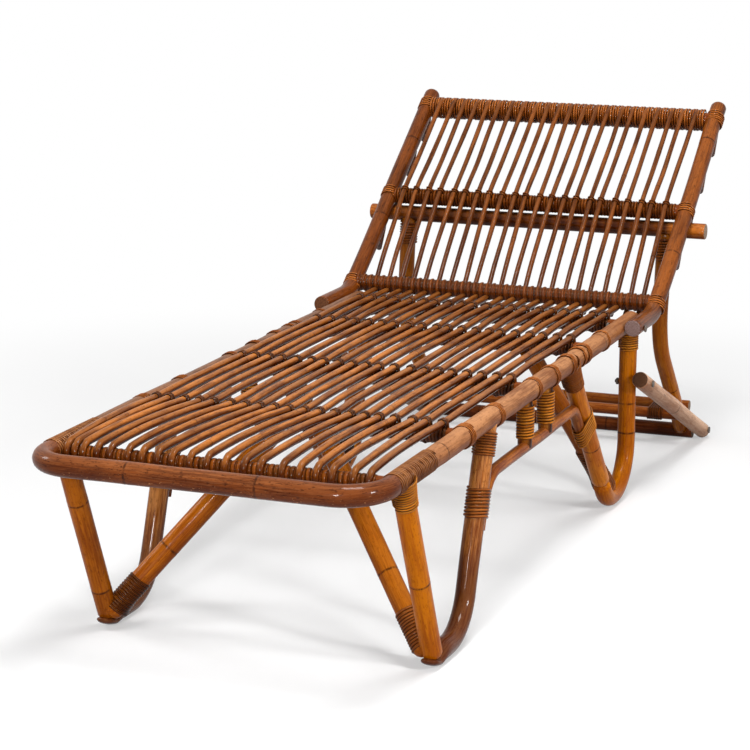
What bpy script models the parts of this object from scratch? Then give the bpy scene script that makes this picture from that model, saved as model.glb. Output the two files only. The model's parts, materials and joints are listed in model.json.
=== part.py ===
# Rattan chaise longue with a hinged back, a notched prop frame and two tie arms.
# Metres, +Z up.  Y runs from the foot end to the head end.  Left and right are as
# seen from the foot end, so left is -X.
# The origin lies on the floor below the middle of the whole piece.

import math

import bmesh
import bpy
from mathutils import Vector

# Clearances
CLEAR = 0.0003          # between pieces that touch
SEAT_GAP = 0.0008       # between a saddle cut end and the round pole it sits on
TIP_GAP = 0.0017        # the same at the corners of an end that sits on a thinner pole
BORE_GAP = 0.0012       # round a bolt, in radius
HINGE_GAP = 0.0010      # side play between a swinging pole and its neighbour

# Round poles: number of flat sides
POLE_SIDES = 12
ROD_SIDES = 6
BOLT_SIDES = 8

# Seat frame.  Distances along the chaise start 12 mm behind the middle of the foot loop.
RAIL_HALF = 0.275       # rail centre to the middle of the chaise
RAIL_Z = 0.332          # rail centre above the floor
RAIL_R = 0.017
RAIL_END = 1.345        # rear end of the side rails
LOOP_R = 0.017          # foot loop pole
LOOP_FRONT = -0.012     # middle of the foot loop's cross run
LOOP_CORNER = 0.068     # bend radius of the foot loop's corners
LOOP_END = 0.118        # where the foot loop meets the side rails
BAR_R = 0.0125          # seat cross bars
BAR_DROP = 0.004        # cross bar centre below the rail centre
BAR_Y = {"front": 0.080, "calf": 0.388, "knee": 0.729, "hip": 1.072, "rear": 1.294}

# Seat rods and their lacing
SEAT_RODS = 20
SEAT_ROD_R = 0.0055
SEAT_ROD_EDGE = 0.0155  # clear space between a rail and the outermost rod
SEAT_ROD_END = 1.374    # rear end of the rods
SEAT_ROD_HANG = 0.024   # how far the bent front ends hang below the rods
LACE_WIDTH = 0.014
LACE_THICK = 0.0036

# Legs: a bent pole that turns along the floor, and a post that stands on its tip
LEG_R = 0.0165
POST_R = 0.0165
TIP_R = 0.0105          # whittled tip of the bent pole
LEG_BEND = 0.090        # bend radius at the floor
# top and post: where the two poles meet the rail.  rake: lean of the bent pole.  flat: its run
# along the floor.  toe: whittled end.  heel: post foot behind the tip.  brace: brace foot before the bend.
# head: brace head from the middle of its cross bar.  cut: gap left at the brace foot.
FRONT_LEG = {"top": 0.4863, "rake": 0.1128, "flat": 0.0975, "toe": 0.068, "post": 0.110,
             "heel": 0.024, "brace": 0.1455, "head": 0.029, "cut": 0.0036}
REAR_LEG = {"top": 1.3250, "rake": 0.0, "flat": 0.122, "toe": 0.053, "post": 0.945,
            "heel": 0.026, "brace": 0.0910, "head": 0.1525, "cut": SEAT_GAP}
TIP_Z = 0.031           # centre of the whittled tip above the floor
BRACE_R = 0.0168

# Side stretchers with wound spindles
STRETCH_R = 0.0100
STRETCH_Z = 0.241
STRETCH_LOW_FRONT = 0.160
STRETCH_LOW_REAR = 0.186
STRETCH_BEND_FRONT = 0.070
STRETCH_BEND_REAR = 0.030
SPINDLE_Y = (0.690, 0.803)
SPINDLE_R = 0.0120
PEEL_R = 0.0017         # round peel wound on the spindles
PEEL_TURNS = 11
PEEL_POINTS = 12        # points in one turn
PEEL_MARGIN = 0.0035    # bare spindle left at each end

# Back
BACK_TILT = math.radians(35.3)
HINGE_Y = 1.254
HINGE_Z = 0.336
STILE_R = 0.0160
STILE_FRONT = 0.026     # bent stile end in front of the hinge
STILE_END_Z = 0.340
STILE_BEND = 0.110
STILE_TURN = 0.1200     # bend corner behind the hinge
STILE_TOP = 0.594       # straight stile above the bend corner
BACK_BAR_R = 0.0150
BACK_BAR_AT = {"bottom": 0.027, "middle": 0.277, "top": 0.545}
BACK_RODS = 22
BACK_ROD_R = 0.0048
BACK_ROD_EDGE = 0.0152  # clear space between a stile and the outermost rod
BACK_ROD_TAIL = 0.020   # rods past the middle of the top and bottom bars
BACK_LACE_WIDTH = 0.012

# Pegs on the stiles, each one a notch for the prop rod
PEGS = 4
PEG_TOP_AT = 0.489      # lower face of the highest peg above the bend corner
PEG_PITCH = 0.108
PEG_IN_USE = 3          # counted from the top
PEG_LENGTH = 0.052
PEG_WIDTH = 0.018
PEG_REACH = 0.034       # peg toe behind the stile
PEG_HEEL = 0.006        # peg thickness at its upper end
PEG_RELIEF = math.radians(10.0)

# Prop frame
PROP_R = 0.0155         # prop rod and legs
PROP_ROD_PAST = 0.025   # rod ends past the stiles
PROP_LEG_GAP = 0.009    # clear space between a prop leg and a tie arm
PROP_KNEE = (1.575, 0.245)
PROP_BEND = 0.150
PROP_AIM = 0.004        # leg axis below the floor bar centre
FLOOR_BAR_R = 0.0150
FLOOR_BAR_Y = 1.786
PROP_BAR_R = 0.0110
PROP_BAR_FRONT_UP = 0.100   # paired cross bars, measured up the leg from the floor bar
PROP_BAR_BACK_UP = 0.057
PROP_BAR_PAST = 0.020   # cross bar ends past the middle of the legs

# Tie arms
ARM_R = 0.0155
ARM_PIVOT_Z = 0.216
ARM_LOW_Z = 0.0200      # bolt through the floor bar
ARM_PAST_TOP = 0.034    # pole past its bolts
ARM_PAST_LOW = 0.023

# Bolts
BOLT_R = 0.0030
HEAD_R = 0.0065
HEAD_H = 0.0030
NUT_H = 0.0045
BOLT_PAST = 0.0040      # thread past the nut
SCREW_DEPTH = 0.040     # coach screw in the end of the floor bar

X_AXIS = Vector((1.0, 0.0, 0.0))
Y_AXIS = Vector((0.0, 1.0, 0.0))
Z_AXIS = Vector((0.0, 0.0, 1.0))

# Colours seen in the photograph: base colour, roughness, metallic
HONEY = (0.52, 0.24, 0.055, 0.38, 0.0)
AMBER = (0.42, 0.17, 0.035, 0.36, 0.0)
TAWNY = (0.33, 0.13, 0.035, 0.34, 0.0)
DARK = (0.17, 0.05, 0.018, 0.26, 0.0)
WORN = (0.45, 0.25, 0.14, 0.60, 0.0)
PEEL = (0.40, 0.19, 0.045, 0.42, 0.0)
STEEL = (0.16, 0.13, 0.11, 0.50, 0.9)

for old in list(bpy.data.objects):
    bpy.data.objects.remove(old, do_unlink=True)

pieces = []


def add_empty(name, place, parent=None):
    marker = bpy.data.objects.new(name, None)
    marker.location = place
    marker.parent = parent
    bpy.context.scene.collection.objects.link(marker)
    return marker


def make_material(name, tone):
    red, green, blue, rough, metal = tone
    material = bpy.data.materials.new(name)
    material.use_nodes = True
    surface = material.node_tree.nodes["Principled BSDF"]
    surface.inputs["Base Color"].default_value = (red, green, blue, 1.0)
    surface.inputs["Roughness"].default_value = rough
    surface.inputs["Metallic"].default_value = metal
    return material


# Paths: straight runs joined by round bends

def bent_path(corners, bends, step=math.radians(14.0)):
    path = [Vector(corners[0])]
    for before, corner, after, radius in zip(corners, corners[1:], corners[2:], bends):
        corner = Vector(corner)
        arrive = (corner - Vector(before)).normalized()
        leave = (Vector(after) - corner).normalized()
        turn = arrive.angle(leave)
        reach = radius * math.tan(turn / 2.0)
        centre_way = (leave - arrive).normalized()
        centre = corner + centre_way * (radius / math.cos(turn / 2.0))
        start = corner - arrive * reach - centre
        steps = max(2, round(turn / step))
        spin = arrive.cross(leave).normalized()
        for k in range(steps + 1):
            angle = turn * k / steps
            arm = start * math.cos(angle) + spin.cross(start) * math.sin(angle)
            path.append(centre + arm)
    path.append(Vector(corners[-1]))
    return path


def nearest_gap(point, tubes):
    least = 1.0e9
    for path, radii in tubes:
        for a, b, ra, rb in zip(path, path[1:], radii, radii[1:]):
            run = b - a
            share = max(0.0, min(1.0, (point - a).dot(run) / run.length_squared))
            least = min(least, (point - a - run * share).length - ra - (rb - ra) * share)
    return least


# A saddle cut: each point of the end slides along the pole until it meets the neighbour
def saddle(ring, way, tubes, travel, room):
    cut = []
    for point in ring:
        low = -travel
        gap = nearest_gap(point + way * low, tubes)
        best = (gap, low)
        far = low
        while far < travel and gap > room:
            low = far
            far = low + max(0.0005, 0.6 * (gap - room))
            gap = nearest_gap(point + way * far, tubes)
            best = min(best, (gap, far))
        if gap > room:
            cut.append(point + way * best[1])
            continue
        for _ in range(24):
            middle = (low + far) / 2.0
            if nearest_gap(point + way * middle, tubes) > room:
                low = middle
            else:
                far = middle
        cut.append(point + way * low)
    return cut


# An end face made of strips that run along the neighbour, so a saddle stays true
def cap_strips(ring, count, lie, first, second):
    angle = math.atan2(lie.dot(second), lie.dot(first)) + math.pi / 2.0
    axis = round(angle / (math.pi / count))
    order = [(axis // 2 + k) % count for k in range(count)]
    if axis % 2:
        start = (axis - 1) // 2
        left = [(start + k) % count for k in range(1, count // 2)]
        right = [(start - k) % count for k in range(1, count // 2)]
        middle_first = start % count
        middle_last = (start + count // 2) % count
        faces = [(middle_first, left[0], right[0])]
        faces += [(a, b, d, c) for a, b, c, d in zip(left, left[1:], right, right[1:])]
        faces.append((left[-1], middle_last, right[-1]))
        return faces
    left = order[:count // 2]
    right = [(axis // 2 - 1 - k) % count for k in range(count // 2)]
    return [(a, b, d, c) for a, b, c, d in zip(left, left[1:], right, right[1:])]


def finish_piece(name, bm, tone, parent, home):
    bmesh.ops.recalc_face_normals(bm, faces=bm.faces)
    bmesh.ops.triangulate(bm, faces=bm.faces)
    bmesh.ops.translate(bm, verts=bm.verts, vec=-Vector(home))
    mesh = bpy.data.meshes.new(name)
    bm.to_mesh(mesh)
    bm.free()
    mesh.shade_smooth()
    mesh.set_sharp_from_angle(angle=math.radians(40.0))
    piece = bpy.data.objects.new(name, mesh)
    piece.parent = parent
    bpy.context.scene.collection.objects.link(piece)
    mesh.materials.append(make_material(name + "_finish", tone))
    pieces.append(piece)
    return piece


# Rings of a pole along a path that lies in one plane; side is square to that plane
def pole_rings(path, radii, side, sides):
    rings = []
    frames = []
    last = len(path) - 1
    for k, point in enumerate(path):
        before = (point - path[k - 1]).normalized() if k else None
        after = (path[k + 1] - point).normalized() if k < last else None
        way = (before or after).normalized() if not (before and after) else (before + after).normalized()
        stretch = 1.0
        if before and after:
            stretch = 1.0 / max(0.5, before.dot(way))
        first = (side - way * side.dot(way)).normalized()
        second = way.cross(first)
        ring = []
        for n in range(sides):
            angle = (n + 0.5) * 2.0 * math.pi / sides
            ring.append(point + first * (radii[k] * math.cos(angle))
                        + second * (radii[k] * stretch * math.sin(angle)))
        rings.append(ring)
        frames.append((way, first, second))
    return rings, frames


# One pole.  start_seat and end_seat list the tubes that its saddle cut ends sit on.
def pole_mesh(path, radii, side, sides=POLE_SIDES, start_seat=None, end_seat=None, dome=(False, False),
              start_room=SEAT_GAP, end_room=SEAT_GAP):
    path = [Vector(p) for p in path]
    if not isinstance(radii, (list, tuple)):
        radii = [radii] * len(path)
    rings, frames = pole_rings(path, radii, side, sides)
    lies = []
    for seat, place, room in ((start_seat, 0, start_room), (end_seat, -1, end_room)):
        way, first, second = frames[place]
        outward = -way if place == 0 else way
        lie = first
        if seat:
            tube = min(seat, key=lambda t: nearest_gap(path[place], [t]))
            run = min(zip(tube[0], tube[0][1:]), key=lambda ab: ((ab[0] + ab[1]) / 2 - path[place]).length)
            lie = (run[1] - run[0]).normalized()
            lie = lie - way * lie.dot(way)
            rings[place] = saddle(rings[place], outward, seat, 3.0 * radii[place], room)
        lies.append(lie)
    for rounded, place in zip(dome, (0, -1)):
        if not rounded:
            continue
        way = -frames[place][0] if place == 0 else frames[place][0]
        centre = path[place] - way * radii[place]
        extra = []
        for angle in (math.radians(0.0), math.radians(35.0), math.radians(65.0)):
            lift = way * (radii[place] * math.sin(angle))
            extra.append([centre + lift + (p - path[place]) * math.cos(angle) for p in rings[place]])
        if place == 0:
            rings = extra[::-1] + rings[1:]
        else:
            rings = rings[:-1] + extra
    bm = bmesh.new()
    loops = [[bm.verts.new(p) for p in ring] for ring in rings]
    for lower, upper in zip(loops, loops[1:]):
        for n in range(sides):
            m = (n + 1) % sides
            bm.faces.new((lower[n], lower[m], upper[m], upper[n]))
    for loop, frame, lie in ((loops[0], frames[0], lies[0]), (loops[-1], frames[-1], lies[1])):
        for corner in cap_strips(loop, sides, lie, frame[1], frame[2]):
            bm.faces.new([loop[n] for n in corner])
    return bm


def add_pole(name, path, radii, side, tone, parent, home=(0, 0, 0), **ends):
    return finish_piece(name, pole_mesh(path, radii, side, **ends), tone, parent, home)


def add_cutter(name, bm, parent, home):
    bmesh.ops.recalc_face_normals(bm, faces=bm.faces)
    bmesh.ops.translate(bm, verts=bm.verts, vec=-Vector(home))
    mesh = bpy.data.meshes.new(name)
    bm.to_mesh(mesh)
    bm.free()
    cutter = bpy.data.objects.new(name, mesh)
    cutter.parent = parent
    cutter.hide_render = True
    cutter.display_type = "WIRE"
    bpy.context.scene.collection.objects.link(cutter)
    return cutter


# A bore along X through a pole, for a bolt
def bore(piece, start, end, home=(0, 0, 0)):
    path = [Vector(start), Vector(end)]
    tool = pole_mesh(path, BOLT_R + BORE_GAP, Z_AXIS, sides=BOLT_SIDES)
    cutter = add_cutter(piece.name + "_bore_cutter", tool, piece.parent, home)
    cut = piece.modifiers.new("bore", "BOOLEAN")
    cut.operation = "DIFFERENCE"
    cut.solver = "EXACT"
    cut.object = cutter


# A bolt along X: turned head, shank, and nut where it has one
def add_bolt(name, place, head_x, nut_x, tip_x, parent, home):
    mark = 1.0 if head_x > 0 else -1.0
    marks = [(head_x + mark * HEAD_H, 0.55 * HEAD_R), (head_x + mark * 0.4 * HEAD_H, HEAD_R)]
    marks += [(head_x, HEAD_R), (head_x, BOLT_R)]
    if nut_x is not None:
        marks += [(nut_x, BOLT_R), (nut_x, HEAD_R), (nut_x - mark * NUT_H, HEAD_R)]
        marks += [(nut_x - mark * NUT_H, BOLT_R)]
    marks.append((tip_x, BOLT_R))
    bm = bmesh.new()
    loops = []
    for x, radius in marks:
        turn = [(n + 0.5) * 2.0 * math.pi / BOLT_SIDES for n in range(BOLT_SIDES)]
        loops.append([bm.verts.new((x, place[0] + radius * math.cos(a), place[1] + radius * math.sin(a)))
                      for a in turn])
    for lower, upper in zip(loops, loops[1:]):
        for n in range(BOLT_SIDES):
            m = (n + 1) % BOLT_SIDES
            bm.faces.new((lower[n], lower[m], upper[m], upper[n]))
    bm.faces.new(loops[0])
    bm.faces.new(loops[-1])
    finish_piece(name, bm, STEEL, parent, home)


root = add_empty("chaise", (0.0, 0.0, 0.0))

# Foot loop and side rails
HALVES = (("left", -1.0), ("right", 1.0))
loop_corners = [(-RAIL_HALF, LOOP_END, RAIL_Z), (-RAIL_HALF, LOOP_FRONT, RAIL_Z)]
loop_corners += [(RAIL_HALF, LOOP_FRONT, RAIL_Z), (RAIL_HALF, LOOP_END, RAIL_Z)]
loop_path = bent_path(loop_corners, [LOOP_CORNER, LOOP_CORNER])
loop_tube = (loop_path, [LOOP_R] * len(loop_path))
add_pole("front_loop", loop_path, LOOP_R, Z_AXIS, DARK, root)

rail_tubes = {}
rails = {}
for half, mark in HALVES:
    path = [Vector((mark * RAIL_HALF, y, RAIL_Z)) for y in (LOOP_END + CLEAR, RAIL_END)]
    rail_tubes[half] = (path, [RAIL_R, RAIL_R])
    rails[half] = add_pole("side_rail_" + half, path, RAIL_R, X_AXIS, WORN, root)
both_rails = list(rail_tubes.values())

# Seat cross bars between the rails, the front one between the sides of the loop
bar_z = RAIL_Z - BAR_DROP
bar_tubes = {}
for spot, y in BAR_Y.items():
    path = [Vector((-RAIL_HALF + RAIL_R, y, bar_z)), Vector((RAIL_HALF - RAIL_R, y, bar_z))]
    bar_tubes[spot] = (path, [BAR_R, BAR_R])
    add_pole("seat_bar_" + spot, path, BAR_R, Y_AXIS, TAWNY, root,
             start_seat=[rail_tubes["left"], loop_tube], end_seat=[rail_tubes["right"], loop_tube])

# Legs
flat = math.cos(math.pi / POLE_SIDES)
foot_z = LEG_R * flat


def leg_spots(size):
    corner = size["top"] - size["rake"]
    rise = corner - size["flat"]
    tip = rise - size["toe"]
    return {"corner": corner, "rise": rise, "tip": tip, "foot": tip + size["heel"],
            "brace": corner - size["brace"]}


spots = {"front": leg_spots(FRONT_LEG), "rear": leg_spots(REAR_LEG)}
bend_tubes = {}
post_tubes = {}
for pair, size in (("front", FRONT_LEG), ("rear", REAR_LEG)):
    spot = spots[pair]
    for half, mark in HALVES:
        x = mark * RAIL_HALF
        corners = [(x, size["top"], RAIL_Z - RAIL_R), (x, spot["corner"], foot_z)]
        corners += [(x, spot["rise"], foot_z), (x, spot["tip"], TIP_Z)]
        path = bent_path(corners, [LEG_BEND, LEG_BEND])
        rise = (Vector(corners[3]) - Vector(corners[2])).length
        radii = []
        for point in path:
            share = max(0.0, min(1.0, (spot["rise"] - point.y) / rise))
            radii.append(LEG_R + (TIP_R - LEG_R) * share)
        bend_tubes[pair, half] = (path, radii)
        add_pole("leg_bend_%s_%s" % (pair, half), path, radii, X_AXIS, DARK, root,
                 start_seat=[rail_tubes[half]])
        path = [Vector((x, size["post"], RAIL_Z - RAIL_R)), Vector((x, spot["foot"], TIP_Z + TIP_R))]
        post_tubes[pair, half] = (path, [POST_R, POST_R])
        add_pole("leg_post_%s_%s" % (pair, half), path, POST_R, X_AXIS, HONEY, root,
                 start_seat=[rail_tubes[half], loop_tube], end_seat=[bend_tubes[pair, half]],
                 end_room=TIP_GAP)

# Braces from each foot, cut to lie against bent pole and post, to a cross bar of the seat
for pair, bar, size in (("front", "calf", FRONT_LEG), ("rear", "hip", REAR_LEG)):
    for half, mark in HALVES:
        low = Vector((mark * RAIL_HALF, spots[pair]["brace"], foot_z))
        high = Vector((mark * size["head"], BAR_Y[bar], bar_z))
        way = (high - low).normalized()
        path = [low + way * (LEG_R + SEAT_GAP), high - way * (BAR_R + SEAT_GAP)]
        add_pole("leg_brace_%s_%s" % (pair, half), path, BRACE_R, way.cross(Y_AXIS).normalized(),
                 AMBER, root, start_seat=[bend_tubes[pair, half], post_tubes[pair, half]],
                 end_seat=[bar_tubes[bar]], start_room=size["cut"], end_room=TIP_GAP)

# Side stretchers: the front end lies behind the bent leg, the rear end before the post
front_way = FRONT_LEG["rake"] / (RAIL_Z - RAIL_R - foot_z)
post_drop = (spots["rear"]["foot"] - REAR_LEG["post"]) / (TIP_Z + TIP_R - RAIL_Z + RAIL_R)
front_off = (LEG_R + STRETCH_R + CLEAR) * math.hypot(1.0, front_way)
rear_off = (POST_R + STRETCH_R + CLEAR) * math.hypot(1.0, post_drop)


def stretch_front(z):
    return spots["front"]["corner"] + (z - foot_z) * front_way + front_off


def stretch_rear(z):
    return REAR_LEG["post"] + (z - RAIL_Z + RAIL_R) * post_drop - rear_off


peel_home = (SPINDLE_R + PEEL_R + CLEAR) / math.cos(math.pi / PEEL_POINTS)
wrap_low = STRETCH_Z + STRETCH_R + SEAT_GAP + PEEL_MARGIN
wrap_high = RAIL_Z - RAIL_R - SEAT_GAP - PEEL_MARGIN
wrap_pitch = (wrap_high - wrap_low - 2.0 * PEEL_R) / PEEL_TURNS


def wound_peel(name, x, y, parent):
    points = []
    for k in range(PEEL_TURNS * PEEL_POINTS + 1):
        angle = 2.0 * math.pi * k / PEEL_POINTS
        height = wrap_low + PEEL_R + wrap_pitch * k / PEEL_POINTS
        points.append(Vector((x + peel_home * math.cos(angle), y + peel_home * math.sin(angle), height)))
    lead = (points[0] - points[1]).normalized()
    tail = (points[-1] - points[-2]).normalized()
    points.insert(0, points[0] + lead * 2.0 * PEEL_R)
    points.append(points[-1] + tail * 2.0 * PEEL_R)
    least = 1.0
    for i, first in enumerate(points):
        for second in points[i + PEEL_POINTS // 2:]:
            least = min(least, (first - second).length - 2.0 * PEEL_R)
    print("%s least gap to itself %.2f mm" % (name, least * 1000.0))
    curve = bpy.data.curves.new(name, "CURVE")
    curve.dimensions = "3D"
    curve.fill_mode = "FULL"
    curve.bevel_depth = PEEL_R
    curve.bevel_resolution = 0
    curve.use_fill_caps = True
    spline = curve.splines.new("POLY")
    spline.points.add(len(points) - 1)
    for spot, point in zip(spline.points, points):
        spot.co = (point.x, point.y, point.z, 1.0)
    curve.materials.append(make_material(name + "_finish", PEEL))
    piece = bpy.data.objects.new(name, curve)
    piece.parent = parent
    bpy.context.scene.collection.objects.link(piece)
    pieces.append(piece)


for half, mark in HALVES:
    x = mark * RAIL_HALF
    corners = [(x, stretch_front(z), z) for z in (STRETCH_LOW_FRONT, STRETCH_Z)]
    corners += [(x, stretch_rear(z), z) for z in (STRETCH_Z, STRETCH_LOW_REAR)]
    path = bent_path(corners, [STRETCH_BEND_FRONT, STRETCH_BEND_REAR])
    stretcher = (path, [STRETCH_R] * len(path))
    add_pole("side_stretcher_" + half, path, STRETCH_R, X_AXIS, WORN, root)
    for n, y in enumerate(SPINDLE_Y, 1):
        path = [Vector((x, y, STRETCH_Z + STRETCH_R)), Vector((x, y, RAIL_Z - RAIL_R))]
        add_pole("spindle_%d_%s" % (n, half), path, SPINDLE_R, X_AXIS, TAWNY, root,
                 start_seat=[stretcher], end_seat=[rail_tubes[half]])
        wound_peel("spindle_peel_%d_%s" % (n, half), x, y, root)


# A mat of rods laced into one piece: rods along their paths, joined by flat laces
def add_mat(name, rod_paths, radius, side, laces, tone, parent, home):
    rods = bmesh.new()
    for path in rod_paths:
        part = pole_mesh(path, radius, side, sides=ROD_SIDES)
        holder = bpy.data.meshes.new("rod")
        part.to_mesh(holder)
        part.free()
        rods.from_mesh(holder)
        bpy.data.meshes.remove(holder)
    strips = bmesh.new()
    for centre, along, up, length, width in laces:
        across = along.cross(up)
        corners = []
        for a, b, c in ((i, j, k) for i in (-1, 1) for j in (-1, 1) for k in (-1, 1)):
            corners.append(strips.verts.new(centre + along * (a * length / 2.0) + across * (b * width / 2.0)
                                            + up * (c * LACE_THICK / 2.0)))
        for quad in ((0, 1, 3, 2), (4, 6, 7, 5), (0, 4, 5, 1), (2, 3, 7, 6), (0, 2, 6, 4), (1, 5, 7, 3)):
            strips.faces.new([corners[n] for n in quad])
    piece = finish_piece(name, rods, tone, parent, home)
    lace = add_cutter(name + "_laces", strips, parent, home)
    join = piece.modifiers.new("laces", "BOOLEAN")
    join.operation = "UNION"
    join.solver = "EXACT"
    join.object = lace
    return piece


# Seat rods lie on the cross bars and bend down before the front one
rod_z = bar_z + BAR_R + SEAT_ROD_R + CLEAR
turn_y = BAR_Y["front"] - BAR_R - SEAT_ROD_R - CLEAR
seat_paths = []
seat_rod_span = 2.0 * (RAIL_HALF - RAIL_R - SEAT_ROD_EDGE - SEAT_ROD_R)
for n in range(SEAT_RODS):
    x = seat_rod_span * (n / (SEAT_RODS - 1) - 0.5)
    corners = [(x, turn_y, rod_z - SEAT_ROD_HANG), (x, turn_y, rod_z), (x, SEAT_ROD_END, rod_z)]
    seat_paths.append(bent_path(corners, [0.9 * BAR_R + SEAT_ROD_R], step=math.radians(30.0)))
seat_laces = []
lace_length = seat_rod_span + 2.0 * SEAT_ROD_R
for spot in ("calf", "knee", "hip", "rear"):
    seat_laces.append((Vector((0.0, BAR_Y[spot], rod_z)), X_AXIS, Z_AXIS, lace_length, LACE_WIDTH))
add_mat("seat_rods", seat_paths, SEAT_ROD_R, X_AXIS, seat_laces, TAWNY, root, (0, 0, 0))

# Back: stiles outside the rails, bent forward at the hinge
hinge = Vector((0.0, HINGE_Y, HINGE_Z))
back = add_empty("back_hinge", hinge, root)
stile_x = RAIL_HALF + RAIL_R + STILE_R + HINGE_GAP
corner = Vector((0.0, HINGE_Y + STILE_TURN, STILE_END_Z))
up_back = Vector((0.0, math.cos(BACK_TILT), math.sin(BACK_TILT)))
rearward = Vector((0.0, math.sin(BACK_TILT), -math.cos(BACK_TILT)))
stiles = {}
stile_tubes = {}
for half, mark in HALVES:
    shift = X_AXIS * (mark * stile_x)
    ends = [Vector((0.0, HINGE_Y - STILE_FRONT, STILE_END_Z)), corner, corner + up_back * STILE_TOP]
    path = bent_path([p + shift for p in ends], [STILE_BEND])
    stile_tubes[half] = (path, [STILE_R] * len(path))
    stiles[half] = add_pole("back_stile_" + half, path, STILE_R, X_AXIS, AMBER, back, hinge,
                            dome=(False, True))
for spot, along in BACK_BAR_AT.items():
    middle = corner + up_back * along
    inner = stile_x - STILE_R
    add_pole("back_bar_" + spot, [middle - X_AXIS * inner, middle + X_AXIS * inner], BACK_BAR_R, up_back,
             TAWNY, back, hinge, start_seat=[stile_tubes["left"]], end_seat=[stile_tubes["right"]])

# Back rods: behind the bottom bar, before the middle and top bars
rod_off = BACK_BAR_R + BACK_ROD_R + CLEAR
back_paths = []
back_rod_span = 2.0 * (stile_x - STILE_R - BACK_ROD_EDGE - BACK_ROD_R)
for n in range(BACK_RODS):
    x = back_rod_span * (n / (BACK_RODS - 1) - 0.5)
    foot = corner + up_back * (BACK_BAR_AT["bottom"] - BACK_ROD_TAIL) + rearward * rod_off
    low = corner + up_back * (BACK_BAR_AT["bottom"] + BACK_ROD_TAIL) + rearward * rod_off
    high = corner + up_back * (BACK_BAR_AT["middle"] - BACK_ROD_TAIL) - rearward * rod_off
    head = corner + up_back * (BACK_BAR_AT["top"] + BACK_ROD_TAIL) - rearward * rod_off
    back_paths.append([p + X_AXIS * x for p in (foot, low, high, head)])
back_laces = []
lace_length = back_rod_span + 2.0 * BACK_ROD_R
for spot, face in (("bottom", 1.0), ("middle", -1.0), ("top", -1.0)):
    place = corner + up_back * BACK_BAR_AT[spot] + rearward * (face * rod_off)
    back_laces.append((place, X_AXIS, rearward, lace_length, BACK_LACE_WIDTH))
add_mat("back_rods", back_paths, BACK_ROD_R, X_AXIS, back_laces, TAWNY, back, hinge)

# Wedge pegs behind the stiles, thick end down
peg_seat = STILE_R + CLEAR
peg_toe = STILE_R + PEG_REACH
for half, mark in HALVES:
    for n in range(PEGS):
        low = PEG_TOP_AT - n * PEG_PITCH
        profile = [(low, peg_seat), (low + math.tan(PEG_RELIEF) * (peg_toe - peg_seat), peg_toe)]
        profile += [(low + PEG_LENGTH, peg_seat + PEG_HEEL), (low + PEG_LENGTH, peg_seat)]
        bm = bmesh.new()
        sheets = []
        for edge in (-0.5, 0.5):
            x = mark * stile_x + edge * PEG_WIDTH
            centre = corner + X_AXIS * x
            sheets.append([bm.verts.new(centre + up_back * a + rearward * r) for a, r in profile])
        for k in range(4):
            m = (k + 1) % 4
            bm.faces.new((sheets[0][k], sheets[0][m], sheets[1][m], sheets[1][k]))
        bm.faces.new(sheets[0])
        bm.faces.new(sheets[1])
        finish_piece("peg_%d_%s" % (n + 1, half), bm, TAWNY, back, hinge)

# Tie arms from the rear legs back to the floor bar
arm_pivot = Vector((0.0, REAR_LEG["top"], ARM_PIVOT_Z))
arm_low = Vector((0.0, FLOOR_BAR_Y, ARM_LOW_Z))
arm_way = (arm_low - arm_pivot).normalized()
arm_x = RAIL_HALF + LEG_R + ARM_R + HINGE_GAP
arms_pivot = add_empty("arm_pivot", arm_pivot, root)
arms = {}
for half, mark in HALVES:
    shift = X_AXIS * (mark * arm_x)
    path = [arm_pivot - arm_way * ARM_PAST_TOP + shift, arm_low + arm_way * ARM_PAST_LOW + shift]
    arms[half] = add_pole("tie_arm_" + half, path, ARM_R, X_AXIS, WORN, arms_pivot, arm_pivot,
                          dome=(False, True))

# Prop frame: rod in the notch below its peg, two bent legs, floor bar, paired cross bars
prop_pivot = add_empty("prop_pivot", arm_low - arm_pivot, arms_pivot)
floor_bar = Vector((0.0, FLOOR_BAR_Y, FLOOR_BAR_R * flat))
peg_low = PEG_TOP_AT - (PEG_IN_USE - 1) * PEG_PITCH
rod_back = STILE_R + PROP_R + CLEAR
rod_room = PROP_R + 2.0 * CLEAR - math.sin(PEG_RELIEF) * (rod_back - peg_seat)
prop_top = corner + up_back * (peg_low - rod_room / math.cos(PEG_RELIEF)) + rearward * rod_back
rod_half = stile_x + STILE_R + PROP_ROD_PAST
rod_path = [prop_top - X_AXIS * rod_half, prop_top + X_AXIS * rod_half]
rod_tube = (rod_path, [PROP_R, PROP_R])
add_pole("prop_rod", rod_path, PROP_R, up_back, TAWNY, prop_pivot, arm_low)
bar_half = arm_x - ARM_R - HINGE_GAP
floor_path = [floor_bar - X_AXIS * bar_half, floor_bar + X_AXIS * bar_half]
floor_tube = (floor_path, [FLOOR_BAR_R, FLOOR_BAR_R])
floor_piece = add_pole("floor_bar", floor_path, FLOOR_BAR_R, Z_AXIS, DARK, prop_pivot, arm_low)
knee = Vector((0.0, PROP_KNEE[0], PROP_KNEE[1]))
fall = (floor_bar - knee).normalized()
under = fall.cross(X_AXIS)
if under.z > 0.0:
    under = -under
leg_end = floor_bar + under * PROP_AIM
drop = (knee - prop_top).normalized()
leg_tubes = []
prop_x = arm_x - ARM_R - PROP_LEG_GAP - PROP_R
for half, mark in HALVES:
    shift = X_AXIS * (mark * prop_x)
    low_end = leg_end - (leg_end - knee).normalized() * FLOOR_BAR_R
    ends = [prop_top + drop * (PROP_R + SEAT_GAP), knee, low_end]
    path = bent_path([p + shift for p in ends], [PROP_BEND])
    leg_tubes.append((path, [PROP_R] * len(path)))
    add_pole("prop_leg_" + half, path, PROP_R, X_AXIS, AMBER, prop_pivot, arm_low,
             start_seat=[rod_tube], end_seat=[floor_tube])
fall = (leg_end - knee).normalized()
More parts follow.
